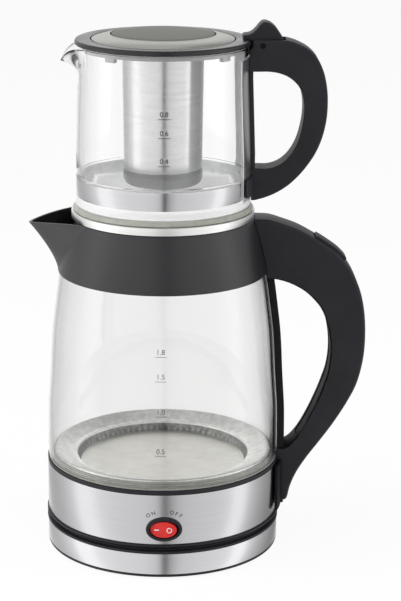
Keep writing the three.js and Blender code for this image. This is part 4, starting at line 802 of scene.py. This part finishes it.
GLASS_OUTSIDE = [
    (81.6, 65.5), (81.6, 70), (81.5, 85), (81.25, 101), (80.4, 114.5), (79.5, 127.9), (78.6, 145.7),
    (77.6, 159), (76.0, 172.2), (74.5, 183.9), (73.2, 193), (72.0, 200), (70.0, 206), (68.2, 211.5),
    (67.4, 214.5), (67.2, 216),
]
glass_outer = smooth_line(GLASS_OUTSIDE, 60)
glass_inner = moved_sideways(glass_outer, 2.6)
kettle_body = turned_piece("kettle_glass_body", glass_outer + glass_inner[::-1], 0, 192)
rounded_edges(kettle_body, 0.9, 3, 60)
dressed(kettle_body, "kettle", kettle_glass_clear, "clear_glass", "kettle_glass", angle=50)

COLLAR_LOW, COLLAR_TALL = 199.5, 38.7
COLLAR_ROUND = (73.4, 63.7)
TIP_DROP = 4.4
BEAK_HALF, KEEL_HALF = math.radians(32), math.radians(4)


def collar_radius(height):
    share = min(max((height - COLLAR_LOW) / COLLAR_TALL, 0), 1)
    return COLLAR_ROUND[1] + (COLLAR_ROUND[0] - COLLAR_ROUND[1]) * (1 - share**1.25)


def beak(turn, level):
    """How far out the spout is drawn at this turn from its middle, as a share, at a level of the collar."""
    soft = math.radians(1.2)
    off = math.hypot(turn, soft) - soft
    half = KEEL_HALF + (BEAK_HALF - KEEL_HALF) * level
    return max(0, 1 - off / half) ** 1.3


COLLAR_WALL = 2.6
outer_heights = [COLLAR_LOW + COLLAR_TALL * (i / 18) for i in range(19)]
inner_heights = [COLLAR_LOW + COLLAR_TALL * (1 - 0.45 * i / 8) for i in range(9)]
collar_outside = [(collar_radius(height), height) for height in outer_heights]
collar_inside = [(collar_radius(height) - COLLAR_WALL, height) for height in inner_heights]
floor_radius = collar_inside[-1][0]
seat = [(r + 0.3, z) for r, z in glass_outer if z > COLLAR_LOW + 0.5][::-3]
collar_profile = (
    collar_outside
    + collar_inside
    + [(floor_radius, 217.8), (64.3, 217.8), (64.3, 216.3), (67.7, 216.3)]
    + [(r, z) for r, z in seat if z < 216]
    + [(radius_at(glass_outer, COLLAR_LOW) + 0.3, COLLAR_LOW)]
)
collar = turned_piece("neck_collar_moulding", collar_profile, 0, 360)
drawn_out = len(collar_outside) + len(collar_inside) + 1
SPOUT_REACH = 93.7 - collar_radius(COLLAR_LOW + COLLAR_TALL - TIP_DROP)
for vertex in collar.data.vertices:
    x, y, z, radius, turn = about_axis(vertex)
    if abs(turn) > BEAK_HALF:
        continue
    spot = min(
        range(len(collar_profile)),
        key=lambda i: (collar_profile[i][0] - radius) ** 2 + (collar_profile[i][1] - z) ** 2,
    )
    if spot >= drawn_out:
        continue
    level = min(max((z - COLLAR_LOW) / COLLAR_TALL, 0), 1)
    top = beak(turn, 1)
    height = COLLAR_LOW + level * (COLLAR_TALL - TIP_DROP * top**1.8)
    gain = collar_radius(height) - collar_radius(z) + SPOUT_REACH * level**1.37 * beak(turn, level)
    out = (radius + gain) / radius
    vertex.co = metres(x * out, y * out, height)
rounded_edges(collar, 0.5, 2, 50)
dressed(collar, "kettle", collar_abs, "black_plastic", "kettle_collar", angle=40)
# Painted shade: the collar's faces towards the axis, inside the neck and spout, take the deeper black.
lined(collar, black_and_painted_shade_abs, faces_axis)

# The filter in the spout takes the deeper black as painted shade.
refinished("spout_filter", black_and_painted_shade_abs)

neck = turned_piece(
    "neck_steel_ring",
    [
        (58.2, 232.3), (60.3, 232.3), (60.3, 238.5), (63.7, 238.5), (63.7, 243.0), (63.3, 243.7),
        (62.6, 243.9), (62, 243.9), (62, 241.4), (58.2, 241.4),
    ],
    0.12,
    160,
)
dressed(neck, "kettle", neck_steel, "polished_steel", "neck_ring")

seal = turned_piece(
    "neck_seal_ring",
    [
        (58.2, 241.7), (61.7, 241.7), (61.7, 244.2), (62.5, 244.3), (62.7, 244.8), (62.5, 245.3),
        (61.9, 245.8), (61.6, 246.6), (61.2, 247.4), (60.6, 247.7), (58.2, 247.7),
    ],
    0,
    160,
)
dressed(seal, "teapot_seat", silicone, "grey_silicone", "neck_seal", angle=60)


# Kettle handle

HANDLE_BOX = (64, 142.64, 24, 237.5)
HANDLE_OUTER = [
    (0.016, 1), (0.125, 0.998), (0.24, 0.985), (0.38, 0.966), (0.52, 0.938), (0.64, 0.91),
    (0.75, 0.879), (0.86, 0.828), (0.94, 0.763), (0.985, 0.69), (1, 0.6), (0.985, 0.52), (0.93, 0.436),
    (0.84, 0.368), (0.72, 0.296), (0.6, 0.234), (0.49, 0.179), (0.4, 0.125), (0.345, 0.075),
    (0.325, 0.042), (0.31, 0.028),
]
HANDLE_INNER = [
    (0.195, 0.798), (0.276, 0.79), (0.36, 0.777), (0.45, 0.757), (0.53, 0.73), (0.6, 0.697),
    (0.652, 0.65), (0.683, 0.592), (0.688, 0.535), (0.668, 0.478), (0.626, 0.428), (0.573, 0.377),
    (0.5, 0.317), (0.415, 0.261), (0.345, 0.23), (0.287, 0.216),
]
handle_outer = smooth_line(in_box(HANDLE_OUTER, *HANDLE_BOX), 120)
handle_inner = smooth_line(in_box(HANDLE_INNER, *HANDLE_BOX), 90)


def kettle_form(name, gap, flange=0.0):
    """A solid as large as the kettle's outside and a gap, to cut what sits against it."""
    outline = [(0, 10), (83.3 + flange, 10), (83.3 + flange, 61.4), (83.3, 61.4 if flange else 64.1)]
    outline += [(81.6 + gap, 64.4)]
    outline += [(r + gap, z) for r, z in glass_outer if 66 < z < COLLAR_LOW - gap]
    outline += [(collar_radius(COLLAR_LOW) + gap, COLLAR_LOW - gap)]
    outline += [(r + gap, z) for r, z in collar_outside]
    outline += [(64, 246), (0, 246)]
    return turned_piece(name, outline, 0, 192)


STRAP_TOP = 199.2


def strap_block(name, gap, width):
    """The back plate's block, or with a gap the room for it."""
    top = STRAP_TOP + gap
    foot = [(58, 28), (86.5 + gap, 28), (86.5 + gap, 66)]
    back = [(r + 4.9 + gap, z) for r, z in glass_outer if 67 < z < top]
    return side_piece(name, foot + back[::2] + [(back[-1][0], top), (58, top)], width)


strap = strap_block("handle_back_plate", 0, 20)
cut_away(strap, kettle_form("form", 0.3))
rounded_edges(strap, 0.8, 3, 60)
joined(strap, sector_piece("flange", ring_profile(83.3, 85.5, 28, 61.1), 0.5, 24, 18))
dressed(strap, "kettle", strap_abs, "black_plastic", "kettle_handle_strap")
# The faces against the glass are light grey.
lined(strap, glass_side_grey, lambda middle, normal: normal.x < -0.7 and middle.z > 66)

SWITCH_SPAN = (0.16, 0.272)
SWITCH_AXLE = (126.625, 205.564)
switch_line = smooth_line(stretch(handle_outer, *SWITCH_SPAN), 40)


def switch_block(name, out, depth, width, rounding, beyond=0.0):
    line = list(switch_line)
    first = Vector(line[0]) - (Vector(line[1]) - Vector(line[0])).normalized() * beyond
    last = Vector(line[-1]) + (Vector(line[-1]) - Vector(line[-2])).normalized() * beyond
    line = [tuple(first)] + line[1:-1] + [tuple(last)]
    return side_piece(name, ribbon(line, out, -depth), width, rounding)


shell = side_piece("handle_loop", ended(handle_outer, 58) + ended(handle_inner, 58)[::-1], 24, 4.2, 6)
mouth = stretch(handle_inner, 0.05, 0.93)
channel = side_piece("channel", ribbon(mouth, 8, -6), 13.6)
cut_away(
    shell,
    kettle_form("form", 0.3, 2.5),
    strap_block("strap_room", 0.3, 20.6),
    channel,
    switch_block("switch_room", 6, 8, 15.6, 0, 0.6),
    cross_rod("pin_bore", 1.5, 21.1, *SWITCH_AXLE),
)
dressed(shell, "kettle", black_abs, "black_plastic", "kettle_handle_shell")
HOLE_MIDDLE = Vector((97, 0, 131))


def faces_hole(middle, normal):
    across = HOLE_MIDDLE - middle
    across.y = 0
    return across.normalized().dot(normal) > 0.45


# Painted shade: the handle's faces turned towards its hole take the deeper black.
lined(shell, black_and_painted_shade_abs, faces_hole)

strip = stretch(handle_inner, 0.0515, 0.9285)
insert = side_piece("handle_inner_strip", ribbon(strip, 2.7, 0.5), 12.8, 0.5)
# The inner strip is real, and its deeper black is painted shade.
dressed(insert, "kettle", black_and_painted_shade_abs, "black_plastic", "kettle_handle_insert")

button = switch_block("power_switch_button", 1.8, 4, 15, 1.0)
cut_away(button, cross_rod("pin_bore", 1.5, 30, *SWITCH_AXLE))
dressed(button, "power_switch", black_abs, "black_plastic", "power_switch")
pin = cross_rod("power_switch_axle", 1.2, 20.5, *SWITCH_AXLE)
dressed(pin, "kettle", plain_steel, "plain_steel", "power_switch_pin")


# Teapot glass

POT_LIP_LOW, POT_TOP = 336.0, 357.2
pot_outer = [
    (60.8, 248.3), (60.8, 250.0), (60.3, 252.1), (59.4, 253.0), (59.4, 268.6), (60.1, 269.0),
    (60.1, 275), (60.0, 285), (59.5, 302), (59.0, 319), (58.5, 330), (58.3, 336.0),
]
lip_levels = [0.15, 0.3, 0.45, 0.58, 0.7, 0.8, 0.88, 0.94, 1]
wall_top = [(58.3, POT_LIP_LOW + s * (POT_TOP - POT_LIP_LOW)) for s in lip_levels]
wall_top_inner = [(56.1, z) for _, z in wall_top[::-1]]
pot_profile = (
    [(0, 250.4), (51.6, 250.4), (54.5, 249.4), (56.2, 248.2), (57.4, 248.0), (60.3, 248.0)]
    + pot_outer
    + wall_top
    + wall_top_inner
    + [(56.2, 336.0), (56.8, 319), (57.4, 302), (57.8, 285), (57.9, 275), (57.2, 268.0), (57.2, 258.6)]
    + [(56.9, 256.6), (55.9, 254.8), (54.2, 253.7), (50, 253.6), (0, 253.6)]
)
teapot_body = turned_piece("teapot_glass_body", pot_profile, 0, 360)
LIP_HALF = math.radians(24)
for vertex in teapot_body.data.vertices:
    x, y, z, radius, turn = about_axis(vertex)
    if z < POT_LIP_LOW + 0.5 or abs(turn) > LIP_HALF:
        continue
    soft = math.radians(4)
    off = math.hypot(turn, soft) - soft
    shape = max(0, 1 - off / LIP_HALF) ** 1.2
    level = min((z - POT_LIP_LOW) / (POT_TOP - POT_LIP_LOW), 1)
    height = POT_LIP_LOW + level * (POT_TOP - 10.6 * shape**3 - POT_LIP_LOW)
    out = (radius + 12 * shape * level**3) / radius
    vertex.co = metres(x * out, y * out, height)
rounded_edges(teapot_body, 0.8, 3, 60)
dressed(teapot_body, "teapot", pot_glass_clear, "clear_glass", "teapot_glass", angle=50)
# The pot's floor takes the painted white and glow.
lined(teapot_body, pot_foot_painted_light, lambda middle, normal: middle.z < 257 and middle.xy.length < 57.2)

pot_band = turned_piece("teapot_steel_band", ring_profile(59.7, 60.2, 254.4, 267.1), 0.12, 160)
dressed(pot_band, "teapot", band_steel, "brushed_steel", "teapot_band")
# The band's faces towards the glass take the painted reflection.
lined(pot_band, band_lining_painted_light, faces_axis)

strap_line = [(60.5, 253.0), (60.5, 283.9), (58.6, 336.0), (58.6, 350.2)]
strap_profile = strap_line + [(r + 0.6, z) for r, z in strap_line[::-1]]
pot_strap = sector_piece("teapot_steel_strap", strap_profile, 0.1, 32, 27)
dressed(pot_strap, "teapot", strap_steel, "brushed_steel", "teapot_strap")
# So do the strap's faces towards the glass.
lined(pot_strap, band_lining_painted_light, faces_axis)


# Teapot handle

POT_HANDLE_BOX = (62, 112.6, 250.8, 361.8)
POT_HANDLE_OUTER = [
    (0.435, 1), (0.528, 0.989), (0.628, 0.97), (0.73, 0.944), (0.836, 0.898), (0.93, 0.815),
    (0.985, 0.71), (1, 0.605), (0.984, 0.497), (0.93, 0.39), (0.845, 0.297), (0.74, 0.222),
    (0.62, 0.155), (0.48, 0.095), (0.328, 0.05), (0.178, 0.02), (0.026, 0),
]
POT_HANDLE_INNER = [
    (0.06, 0.806), (0.2, 0.806), (0.33, 0.797), (0.45, 0.776), (0.56, 0.738), (0.635, 0.69),
    (0.672, 0.625), (0.678, 0.544), (0.654, 0.459), (0.605, 0.375), (0.53, 0.305), (0.43, 0.25),
    (0.32, 0.218), (0.2, 0.203), (0.08, 0.203),
]
pot_handle_outer = smooth_line(in_box(POT_HANDLE_OUTER, *POT_HANDLE_BOX), 90)
pot_handle_inner = smooth_line(in_box(POT_HANDLE_INNER, *POT_HANDLE_BOX), 70)
HINGE_X, HINGE_Z = 67.5, 358.1


def arc(radius, start, end, steps):
    turns = [math.radians(start + (end - start) * i / steps) for i in range(steps + 1)]
    return [(HINGE_X + radius * math.cos(t), HINGE_Z + radius * math.sin(t)) for t in turns]


loop = side_piece(
    "teapot_handle_loop",
    [(52, pot_handle_inner[0][1]), (52, 352), (60.4, 357.2), (60.4, 358.9), (60.8, 360.5), (61.6, 361.8)]
    + pot_handle_outer
    + [(52, 250.8), (52, pot_handle_inner[-1][1])]
    + pot_handle_inner[::-1],
    21,
    3.6,
    6,
)
back_line = [(r + 2.8, z) for r, z in strap_line]
back = side_piece("back", [(52, 253.0)] + back_line + [(52, 350.2)], 17, 0.5)
joined(loop, back)
slot_outline = [(52, 374)] + arc(16.6, 90, -67, 24) + arc(8.2, -67, -90, 4) + [(52, 349.9)]
pot_form = turned_piece(
    "form",
    [
        (0, 240), (61.4, 240), (61.4, 283.9), (59.5, 336), (59.5, 350.2), (59.7, 356.9), (61.2, 357.5),
        (61.2, 370), (0, 370),
    ],
    0,
    192,
)
cut_away(
    loop,
    pot_form,
    side_piece("lever_slot", slot_outline, 16),
    cross_rod("pin_bore", 2.0, 40, HINGE_X, HINGE_Z),
)
joined(loop, sector_piece("bracket", ring_profile(61.4, 63.2, 255.8, 268.3), 0.5, 24, 25))
dressed(loop, "teapot", black_abs, "black_plastic", "teapot_handle")
hinge = cross_rod("lid_hinge_axle", 1.7, 19.4, HINGE_X, HINGE_Z)
# The steel pin in the lever's slot takes the deeper black as painted shade.
dressed(hinge, "teapot", black_and_painted_shade_abs, "plain_steel", "lid_hinge_pin")


# Infuser

holder = turned_piece(
    "infuser_holder_ring",
    [
        (29.1, 354.5), (55.6, 354.5), (55.6, 357.5), (58.3, 357.5), (58.3, 358.1), (54.6, 358.1),
        (54.6, 355.7), (29.1, 355.7),
    ],
    0.2,
    160,
)
cut_away(holder, plan_box("notch", (-70, -13), (-48.3, 13), 340, 370))
for i in range(4):
    lug = plan_box("lug", (51.4, -4), (54.6, 4), 351.5, 355.1, 0.5)
    lug.data.transform(turn_about(metres(0, 0, 0), math.radians(49.3 + 90 * i)))
    joined(holder, lug)
dressed(holder, "teapot", milky, "pale_plastic", "infuser_holder")

screen = turned_piece(
    "infuser_screen_tube",
    [
        (33.0, 356.6), (29.0, 356.6), (28.2, 356.1), (27.6, 355.3), (26.4, 265.0), (26.9, 265.0),
        (28.1, 354.9), (28.7, 355.7), (29.4, 356.0), (33.0, 356.0),
    ],
    0,
    128,
)
dressed(screen, "teapot", infuser_steel, "brushed_steel", "infuser_screen")
cup = turned_piece(
    "infuser_bottom_cup",
    [
        (27.6, 272.2), (27.6, 264.2), (27.4, 263.5), (26.7, 263.2), (0, 263.2), (0, 263.8),
        (26.4, 263.8), (26.9, 264.1), (27.0, 264.6), (27.0, 272.2),
    ],
    0,
    128,
)
dressed(cup, "teapot", cup_steel, "brushed_steel", "infuser_cup")


# Lid

rim = turned_piece(
    "lid_rim_ring",
    [
        (59.9, 358.4), (60.4, 358.9), (60.5, 359.7), (60.3, 360.7), (59.9, 361.4), (59.2, 361.8),
        (58.4, 361.9), (49.8, 361.9), (49.8, 359.9), (51.4, 359.6), (51.4, 358.4),
    ],
    0.1,
    192,
)
dressed(rim, "teapot_lid", lid_abs, "black_plastic", "lid_rim")
plate_profile = [(36.2, 363.5), (49.0, 360.2), (49.0, 361.9), (36.2, 365.2)]
lid_plate = turned_piece("lid_steel_plate", plate_profile, 0.15, 192)
dressed(lid_plate, "teapot_lid", lid_steel, "polished_steel", "lid_plate")
disc = turned_piece(
    "lid_centre_disc",
    [(0, 363.5), (35.4, 363.5), (35.4, 365.2), (28, 365.5), (18, 365.8), (8, 365.95), (0, 366.0)],
    0.12,
    160,
)
dressed(disc, "teapot_lid", disc_aluminium, "lid_disc_grey", "lid_disc")
liner = turned_piece(
    "lid_liner_pan",
    [
        (0, 361.7), (35.7, 361.7), (47.6, 358.4), (49.5, 356.2), (51.1, 356.2), (51.1, 358.4),
        (49.2, 359.3), (49.2, 359.9), (35.7, 363.2), (0, 363.2),
    ],
    0.15,
    160,
)
dressed(liner, "teapot_lid", black_and_painted_shade_abs, "black_plastic", "lid_liner")

LEVER_BOX = (67.5, 82.7, 358.1, 373.85)
LEVER_OUTLINE = [
    (-0.87, 0.43), (-0.53, 0.49), (-0.3, 0.67), (-0.1, 0.9), (0.05, 1), (0.32, 0.95), (0.58, 0.76),
    (0.78, 0.5), (0.95, 0.25), (0.88, 0.14), (0.5, 0.03), (0.24, -0.2), (0, -0.27), (-0.2, -0.22),
    (-0.32, -0.05), (-0.42, 0.16), (-0.87, 0.2),
]
lever_points = in_box(LEVER_OUTLINE, *LEVER_BOX)
lever_top = smooth_line(lever_points[:9], 40)
lever_low = smooth_line(lever_points[9:], 24)
lever = side_piece("lid_thumb_lever", lever_top + lever_low, 15, 1.6)
rim_form = turned_piece(
    "form",
    [
        (0, 350), (60.2, 350), (60.8, 359.0), (60.8, 359.9), (60.3, 361.4), (58.8, 362.2),
        (49.5, 362.2), (0, 362.2),
    ],
    0,
    160,
)
cut_away(lever, rim_form, cross_rod("pin_bore", 2.0, 30, HINGE_X, HINGE_Z))
dressed(lever, "teapot_lid", black_abs, "black_plastic", "lid_lever")


# Level marks and switch marks


def flat_word(text, size):
    """Plain figures, made a mesh in the XZ plane about the origin, size in millimetres."""
    nothing_selected()
    bpy.ops.object.text_add()
    word = bpy.context.view_layer.objects.active
    word.data.body = text
    word.data.align_x = "CENTER"
    word.data.align_y = "CENTER"
    word.data.size = size * MM
    word.data.extrude = 0.04 * MM
    only(word)
    bpy.ops.object.convert(target="MESH")
    word.data.transform(Matrix.Rotation(math.pi / 2, 4, "X"))
    return word


def flat_bar(width, height):
    nothing_selected()
    bpy.ops.mesh.primitive_cube_add(size=1)
    bar = bpy.context.view_layer.objects.active
    bar.data.transform(Matrix.Diagonal((width * MM, 0.08 * MM, height * MM, 1)))
    only(bar)
    bpy.ops.object.mode_set(mode="EDIT")
    bpy.ops.mesh.select_all(action="SELECT")
    bpy.ops.mesh.subdivide(number_cuts=3)
    bpy.ops.object.mode_set(mode="OBJECT")
    return bar


def wrapped(flat, x, z, radius_of):
    """Lays a flat mark round the front of a round wall: its X goes round, its Z up, its Y out."""
    for vertex in flat.data.vertices:
        across = x + vertex.co.x / MM
        height = z + vertex.co.z / MM
        radius = radius_of(height) - vertex.co.y / MM
        turn = across / radius
        vertex.co = metres(radius * math.sin(turn), -radius * math.cos(turn), height)
    return flat


def mark_set(name, pieces, body, material, slot):
    nothing_selected()
    for piece in pieces:
        piece.select_set(True)
    bpy.context.view_layer.objects.active = pieces[0]
    bpy.ops.object.join()
    piece = bpy.context.view_layer.objects.active
    piece.name = name
    piece.data.name = name
    return dressed(piece, body, material, slot)


def kettle_wall(height):
    return radius_at(glass_outer, height) + 0.12


def pot_wall(height):
    return radius_at(pot_outer, height) + 0.12 if height < 336 else 58.42


KETTLE_LEVELS = [("1.8", 161.6), ("1.5", 144.6), ("1.0", 120.2), ("0.5", 92.4)]
POT_LEVELS = [("0.8", 319.8), ("0.6", 307.2), ("0.4", 288.4)]
BAR_BELOW = 3.2


def level_marks(name, body, ink, levels, x, size, bar_size, wall):
    """A plain figure with a bar under it at each level."""
    marks = []
    for figure, height in levels:
        marks.append(wrapped(flat_word(figure, size), x, height, wall))
        marks.append(wrapped(flat_bar(*bar_size), x, height - BAR_BELOW, wall))
    mark_set(name, marks, body, ink, "black_plastic")


level_marks("kettle_level_marks", "kettle", print_ink, KETTLE_LEVELS, -2.4, 5.0, (7.6, 0.3), kettle_wall)
level_marks("teapot_level_marks", "teapot", black_ink, POT_LEVELS, 0, 4.8, (8.0, 0.35), pot_wall)

marks = []
for letter, turn in (("O", 129), ("N", 115), ("O", 72), ("F", 60), ("F", 48)):
    angle = math.radians(turn)
    word = flat_word(letter, 3.8)
    word.data.transform(Matrix.Rotation(-(angle - math.pi / 2) * 0.8, 4, "Y"))
    marks.append(
        wrapped(word, 17.2 * math.cos(angle), ROCKER_HEIGHT + 12.6 * math.sin(angle), lambda height: 82.3)
    )
mark_set("switch_words", marks, "kettle", black_ink, "black_plastic")

# The bar and the ring lie on the rocker's face, which slopes away on both sides of a ridge.
ROCKER_FACE = -84.3
bar = flat_bar(3.4, 0.8)
bar.data.transform(Matrix.Translation(metres(-4.4, -84.34, ROCKER_HEIGHT)))
nothing_selected()
bpy.ops.mesh.primitive_torus_add(
    major_radius=1.6 * MM,
    minor_radius=0.32 * MM,
    major_segments=40,
    minor_segments=10,
    location=metres(4.4, ROCKER_FACE, ROCKER_HEIGHT),
    rotation=(math.pi / 2, 0, 0),
)
ring_mark = placed_piece("ring_mark")
for vertex in ring_mark.data.vertices:
    aside = vertex.co.x - metres(4.5, 0, 0).x
    slope = 0.104 * aside if aside > 0 else -0.044 * aside
    vertex.co.y = ROCKER_FACE * MM + (vertex.co.y - ROCKER_FACE * MM) * 0.3 + slope
bar.data.transform(tilted)
ring_mark.data.transform(tilted)
mark_set("rocker_marks", [bar, ring_mark], "keep_warm_rocker", white_print, "black_plastic")


# Floor, light and camera


def floor_paint():
    """A white table with the object's shadow, nearly white to camera and glass. Metal sees past it."""
    material, tree, output = new_material("white_table")
    lit = node(tree, "ShaderNodeBsdfDiffuse", None, {"Color": colour("#fafafa")})
    glow = node(tree, "ShaderNodeEmission", None, {"Color": (1, 1, 1, 1), "Strength": 1.0})
    blend = mixed_shaders(tree, 0.92, (lit, "BSDF"), (glow, "Emission"))
    path = node(tree, "ShaderNodeLightPath")
    seen = maths(tree, "ADD", (path, "Is Camera Ray"), (path, "Is Transmission Ray"))
    seen.use_clamp = True
    shown = mixed_shaders(tree, (seen, "Value"), (lit, "BSDF"), (blend, "Shader"))
    clear = node(tree, "ShaderNodeBsdfTransparent")
    whole = mixed_shaders(tree, (path, "Is Glossy Ray"), (shown, "Shader"), (clear, "BSDF"))
    tree.links.new(whole.outputs["Shader"], output.inputs["Surface"])
    return material


nothing_selected()
bpy.ops.mesh.primitive_plane_add(size=12, location=(0, 0, 0))
table = bpy.context.view_layer.objects.active
table.name = "table"
table.data.materials.append(floor_paint())

world = bpy.data.worlds.new("studio")
bpy.context.scene.world = world
world.use_nodes = True
sky = world.node_tree
sky.nodes.clear()
coords = node(sky, "ShaderNodeTexCoord")
split = node(sky, "ShaderNodeSeparateXYZ", None, {"Vector": (coords, "Generated")})
front = maths(sky, "MULTIPLY", (split, "Y"), -1.0)
turn = maths(sky, "ARCTAN2", (split, "X"), (front, "Value"))
share = maths(sky, "MULTIPLY_ADD", (turn, "Value"), 1 / FULL_TURN, 0.5)


def grey(value):
    return (value, value, value, 1.0)


# What stands round the object, by degrees from the camera's side, negative towards the spout: white backdrop,
# a grey flag, a bright lamp, a soft screen, the dark gap between the screens, and the same to the right.
SURROUNDINGS = [
    (-180, 1.0), (-166, 1.0), (-154, 0.62), (-134, 0.6), (-116, 0.74), (-100, 0.98), (-92, 1.36),
    (-75, 1.36), (-64, 1.1), (-46, 0.98), (-20, 0.92), (-6, 0.82), (-2.4, 0.66), (-0.2, 0.06),
    (3.2, 0.06), (5, 0.46), (10, 0.62), (17, 0.8), (34, 0.88), (56, 0.96), (68, 1.06), (74, 1.34),
    (86, 1.34), (94, 0.88), (106, 0.64), (120, 0.46), (136, 0.32), (150, 0.3), (162, 0.5), (172, 1.0),
    (180, 1.0),
]
studio = ramp(sky, (share, "Value"), [(0.5 + turn / 360, grey(light)) for turn, light in SURROUNDINGS])
# From level to straight up: a light that grows a little towards the top of the screens, and a grey ceiling.
CEILING = [(0.05, 0.83), (0.34, 1.0), (0.46, 0.95), (0.6, 0.62)]
height = maths(sky, "MAXIMUM", (split, "Z"), 0.0)
lift = ramp(sky, (height, "Value"), [(rise, grey(light)) for rise, light in CEILING])
lifted = node(
    sky,
    "ShaderNodeMix",
    {"data_type": "RGBA", "blend_type": "MULTIPLY"},
    {0: 1.0, 6: (studio, "Color"), 7: (lift, "Color")},
)
path = node(sky, "ShaderNodeLightPath")
plain = node(sky, "ShaderNodeBackground", None, {"Color": (1, 1, 1, 1), "Strength": 1.0})
# What metal and glass mirror is brighter than the light that falls on matt things.
dimmer = spread(sky, (path, "Is Diffuse Ray"), 0.0, 1.0, 1.2, 0.66)
room = node(sky, "ShaderNodeBackground", None, {"Color": (lifted, 2), "Strength": (dimmer, "Result")})
mixed = mixed_shaders(sky, (path, "Is Camera Ray"), (room, "Background"), (plain, "Background"))
node(sky, "ShaderNodeOutputWorld", None, {"Surface": (mixed, "Shader")})


def soft_lamp(name, place, aim, size, power):
    nothing_selected()
    bpy.ops.object.light_add(type="AREA", location=place)
    lamp = bpy.context.view_layer.objects.active
    lamp.name = name
    lamp.data.shape = "RECTANGLE"
    lamp.data.size, lamp.data.size_y = size
    lamp.data.energy = power
    lamp.rotation_euler = (Vector(aim) - Vector(place)).to_track_quat("-Z", "Y").to_euler()
    return lamp


for name, place, size, power in (
    ("top_screen", (-0.3, -0.2, 1.5), (1.2, 1.2), 8),
    ("left_screen", (-1.5, -0.25, 0.5), (1.0, 1.4), 20),
    ("right_screen", (1.45, -0.3, 0.5), (1.0, 1.4), 13),
):
    lamp = soft_lamp(name, place, (-0.02, 0, 0.2), size, power)
    lamp.visible_glossy = False
    lamp.visible_transmission = False

camera_data = bpy.data.cameras.new("camera")
camera = bpy.data.objects.new("camera", camera_data)
bpy.context.scene.collection.objects.link(camera)
CAMERA_AWAY, CAMERA_HEIGHT = 1406.5, 569.62
CAMERA_TURN = math.radians(0.68)
CAMERA_TILT, CAMERA_ROLL, CAMERA_AIM = [math.radians(angle) for angle in (74.3817, -0.3388, -0.9858)]
camera_x, camera_y = -CAMERA_AWAY * math.sin(CAMERA_TURN), -CAMERA_AWAY * math.cos(CAMERA_TURN)
camera.location = metres(camera_x, camera_y, CAMERA_HEIGHT)
camera.rotation_euler = (CAMERA_TILT, CAMERA_ROLL, CAMERA_AIM - CAMERA_TURN)
camera_data.lens = 124.07
camera_data.sensor_width = 36
camera_data.clip_end = 20
bpy.context.scene.camera = camera
bpy.context.scene.view_settings.view_transform = "Standard"
